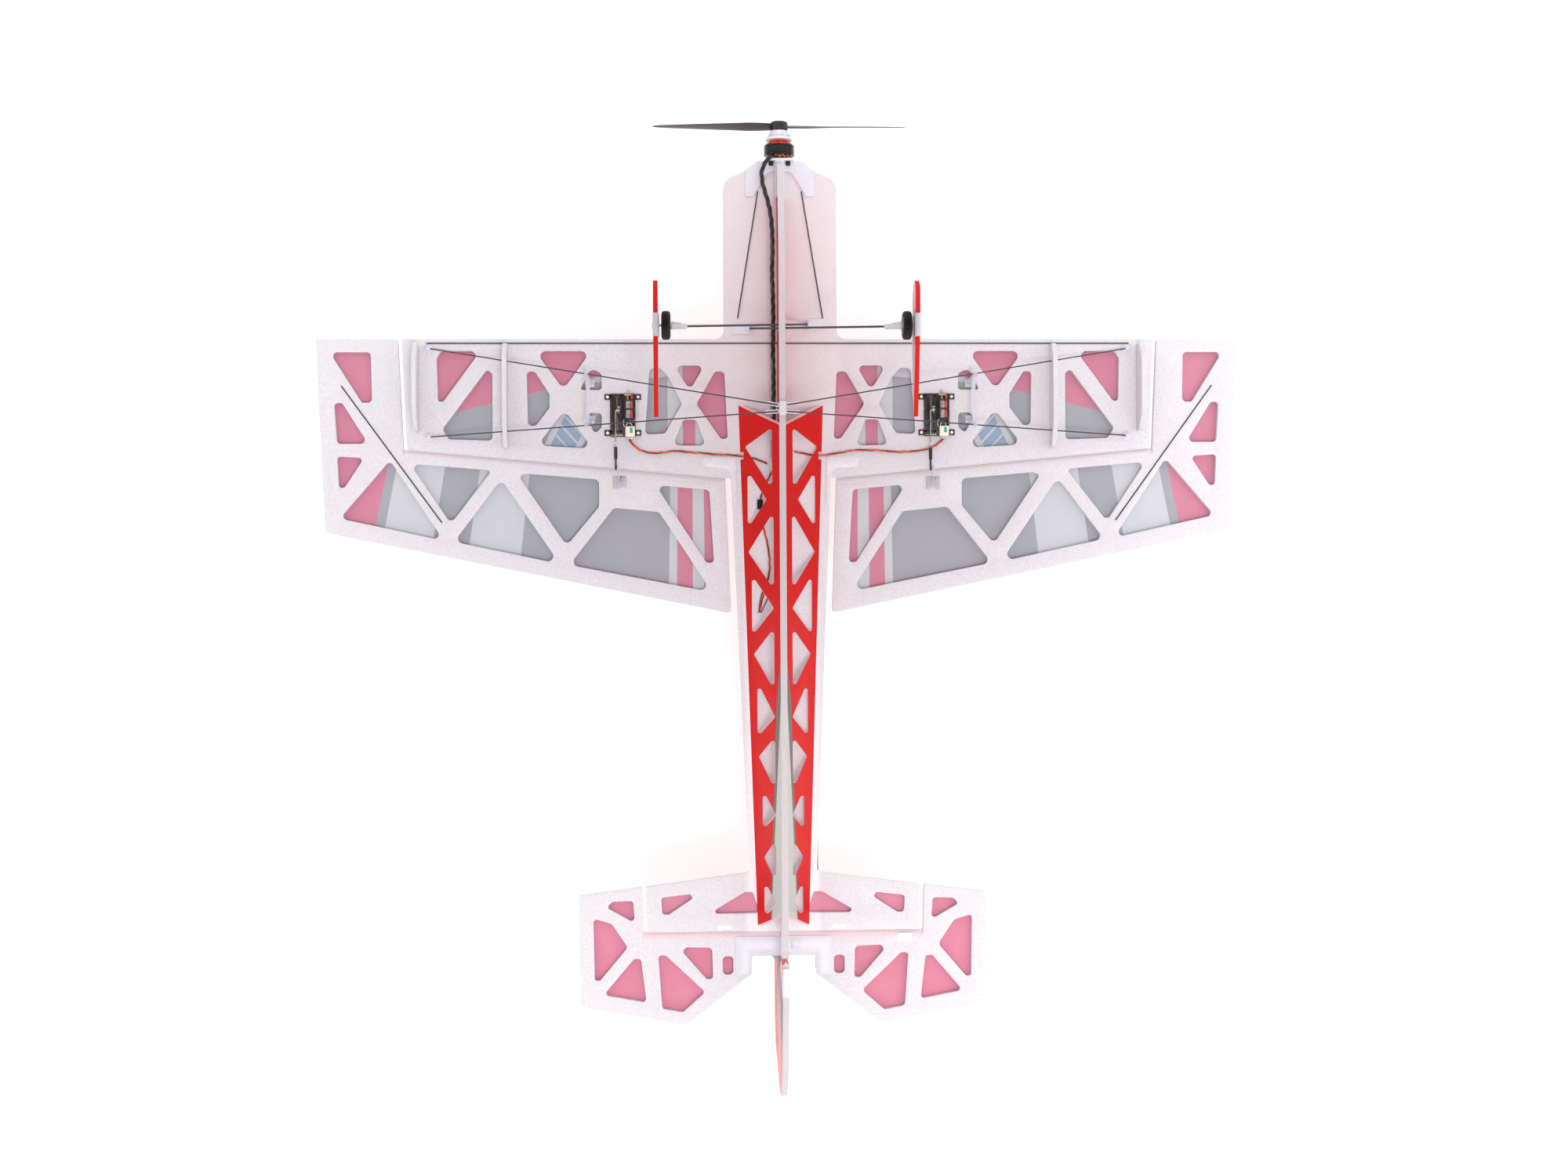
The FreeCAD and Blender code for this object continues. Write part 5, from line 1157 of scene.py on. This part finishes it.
low, high = corners_of("speed_controller")
controller = Build()
controller.box(low + Vector((0.8, 2, 1)), high - Vector((0.2, 2, 1)), BLACK, 1.4)
controller.box(low + Vector((0.2, 7, 3)), Vector((low.x + 1.2, high.y - 7, high.z - 3)), DARK_STEEL, 0.4)
for z in (low.z + 5, high.z - 5):
    controller.tube([(low.x + 3, high.y - 3, z), (low.x + 3, high.y + 1, z)], 1.1,
                    RED_WIRE if z > (low.z + high.z) / 2 else BLACK_WIRE, 10)
controller.finish("speed_controller")
low, high = corners_of("receiver")
receiver = Build()
receiver.box(low + Vector((0.1, 0.5, 0.5)), Vector((low.x + 2.0, high.y - 0.5, high.z - 0.5)), BOARD, 0.2)
for i in range(4):
    y = low.y + 4 + i * 5.6
    receiver.box((low.x + 1.8, y, high.z - 7), (high.x - 0.5, y + 4.4, high.z - 1.5), CREAM, 0.4)
receiver.box((low.x + 1.8, low.y + 4, low.z + 2.5), (low.x + 4.2, low.y + 14, low.z + 9), BLACK, 0.4)
receiver.finish("receiver")

low, high = corners_of("battery")
battery = Build()
battery.box(low, high, BLUE_WRAP, 2.2)
for y0, y1 in ((low.y - 0.1, low.y + 5), (high.y - 5, high.y + 0.1)):
    battery.box((low.x + 0.6, y0, low.z + 0.6), (high.x - 0.6, y1, high.z - 0.6), BLACK, 2.0)
for x, tone in ((low.x + 5, RED_WIRE), (low.x + 9, BLACK_WIRE)):
    lead = [(x, high.y - 1, high.z - 8), (x, high.y + 9, high.z - 8), (x + 1, high.y + 16, high.z - 14),
            (x + 1, high.y + 20, low.z + 6)]
    battery.tube(smooth_line(lead), 1.2, tone, 10)
battery.box((low.x + 3, high.y + 17, low.z + 1), (low.x + 13, high.y + 23, low.z + 8), CREAM, 0.6)
battery.finish("battery")
rounded("battery_strap", 0.35, [WEBBING])
low, high = corners_of("battery_strap")
buckle = Build()
buckle.box((low.x + 5, low.y - 0.8, high.z - 0.9), (low.x + 12, high.y + 0.8, high.z), BLACK, 0.4)
buckle.finish("battery_strap", "strap_buckle")

# ---- stage, light and camera


def one_sided(name, colour, glow, height, size, facing_up):
    """A pale sheet that shows only from its lit side, and throws no shadow."""
    bpy.ops.mesh.primitive_plane_add(size=size, location=(0, 0, height))
    plane = bpy.context.object
    plane.name = name
    if not facing_up:
        plane.rotation_euler = (pi, 0, 0)
    shader = Shader(name, 0.9, Emission_Strength=glow, Emission_Color=(1, 1, 1, 1))
    shader.colour(shader.ramp(shader.noise(3.0), [(0.3, colour), (0.7, colour)]))
    blend = shader.add("MixShader")
    for i, source in enumerate((shader.add("NewGeometry").outputs["Backfacing"], shader.surface.outputs[0],
                                shader.add("BsdfTransparent").outputs[0])):
        shader.put(blend.inputs[i], source)
    shader.put(shader.tree.nodes["Material Output"].inputs["Surface"], blend.outputs[0])
    plane.data.materials.append(shader.material)
    plane.visible_shadow = False


one_sided("floor", linear(250, 250, 250), 0.0, 0.0, 12, True)
one_sided("backdrop", linear(205, 205, 205), 0.5, 0.30, 12, False)

world = bpy.data.worlds.new("studio")
world.use_nodes = True
world.node_tree.nodes["Background"].inputs[0].default_value = (1, 1, 1, 1)
world.node_tree.nodes["Background"].inputs[1].default_value = 0.26
SCENE.world = world


def softbox(name, place, target, size, power):
    """A square area light aimed at a point."""
    light = bpy.data.lights.new(name, "AREA")
    light.size = size
    light.energy = power
    lamp = bpy.data.objects.new(name, light)
    lamp.location = place
    lamp.rotation_euler = (Vector(target) - Vector(place)).to_track_quat("-Z", "Y").to_euler()
    SCENE.collection.objects.link(lamp)


CENTRE = (0, 0, 0.14)
softbox("key_below", (0.2, 0.6, -1.95), CENTRE, 0.5, 15)
softbox("fill_below", (1.2, 0.9, -1.6), CENTRE, 2.0, 11)
softbox("key_above", (1.2, -1.3, 2.0), CENTRE, 1.5, 20)
softbox("fill_above", (-1.6, 1.0, 1.8), CENTRE, 2.0, 9)

CAMERA_DISTANCE = 1.9
CAMERA_ROLL = radians(2.6)
CAMERA_TWIST = radians(0.32)
AIM = Vector((0.0022, -0.0205, 0.142))
FOCAL_PIXELS = 2595
IMAGE_WIDTH = 2000
SENSOR_WIDTH = 36

camera_data = bpy.data.cameras.new("camera")
camera_data.sensor_width = SENSOR_WIDTH
camera_data.lens = FOCAL_PIXELS / IMAGE_WIDTH * SENSOR_WIDTH
camera = bpy.data.objects.new("camera", camera_data)
forward = Vector((sin(CAMERA_ROLL), 0, cos(CAMERA_ROLL)))
up = Vector((sin(CAMERA_TWIST), -cos(CAMERA_TWIST), 0))
right = forward.cross(up).normalized()
up = right.cross(forward).normalized()
camera.matrix_world = Matrix.Translation(AIM - forward * CAMERA_DISTANCE) @ Matrix(
    (right, up, -forward)
).transposed().to_4x4()
SCENE.collection.objects.link(camera)
SCENE.camera = camera
SCENE.view_settings.view_transform = "Standard"
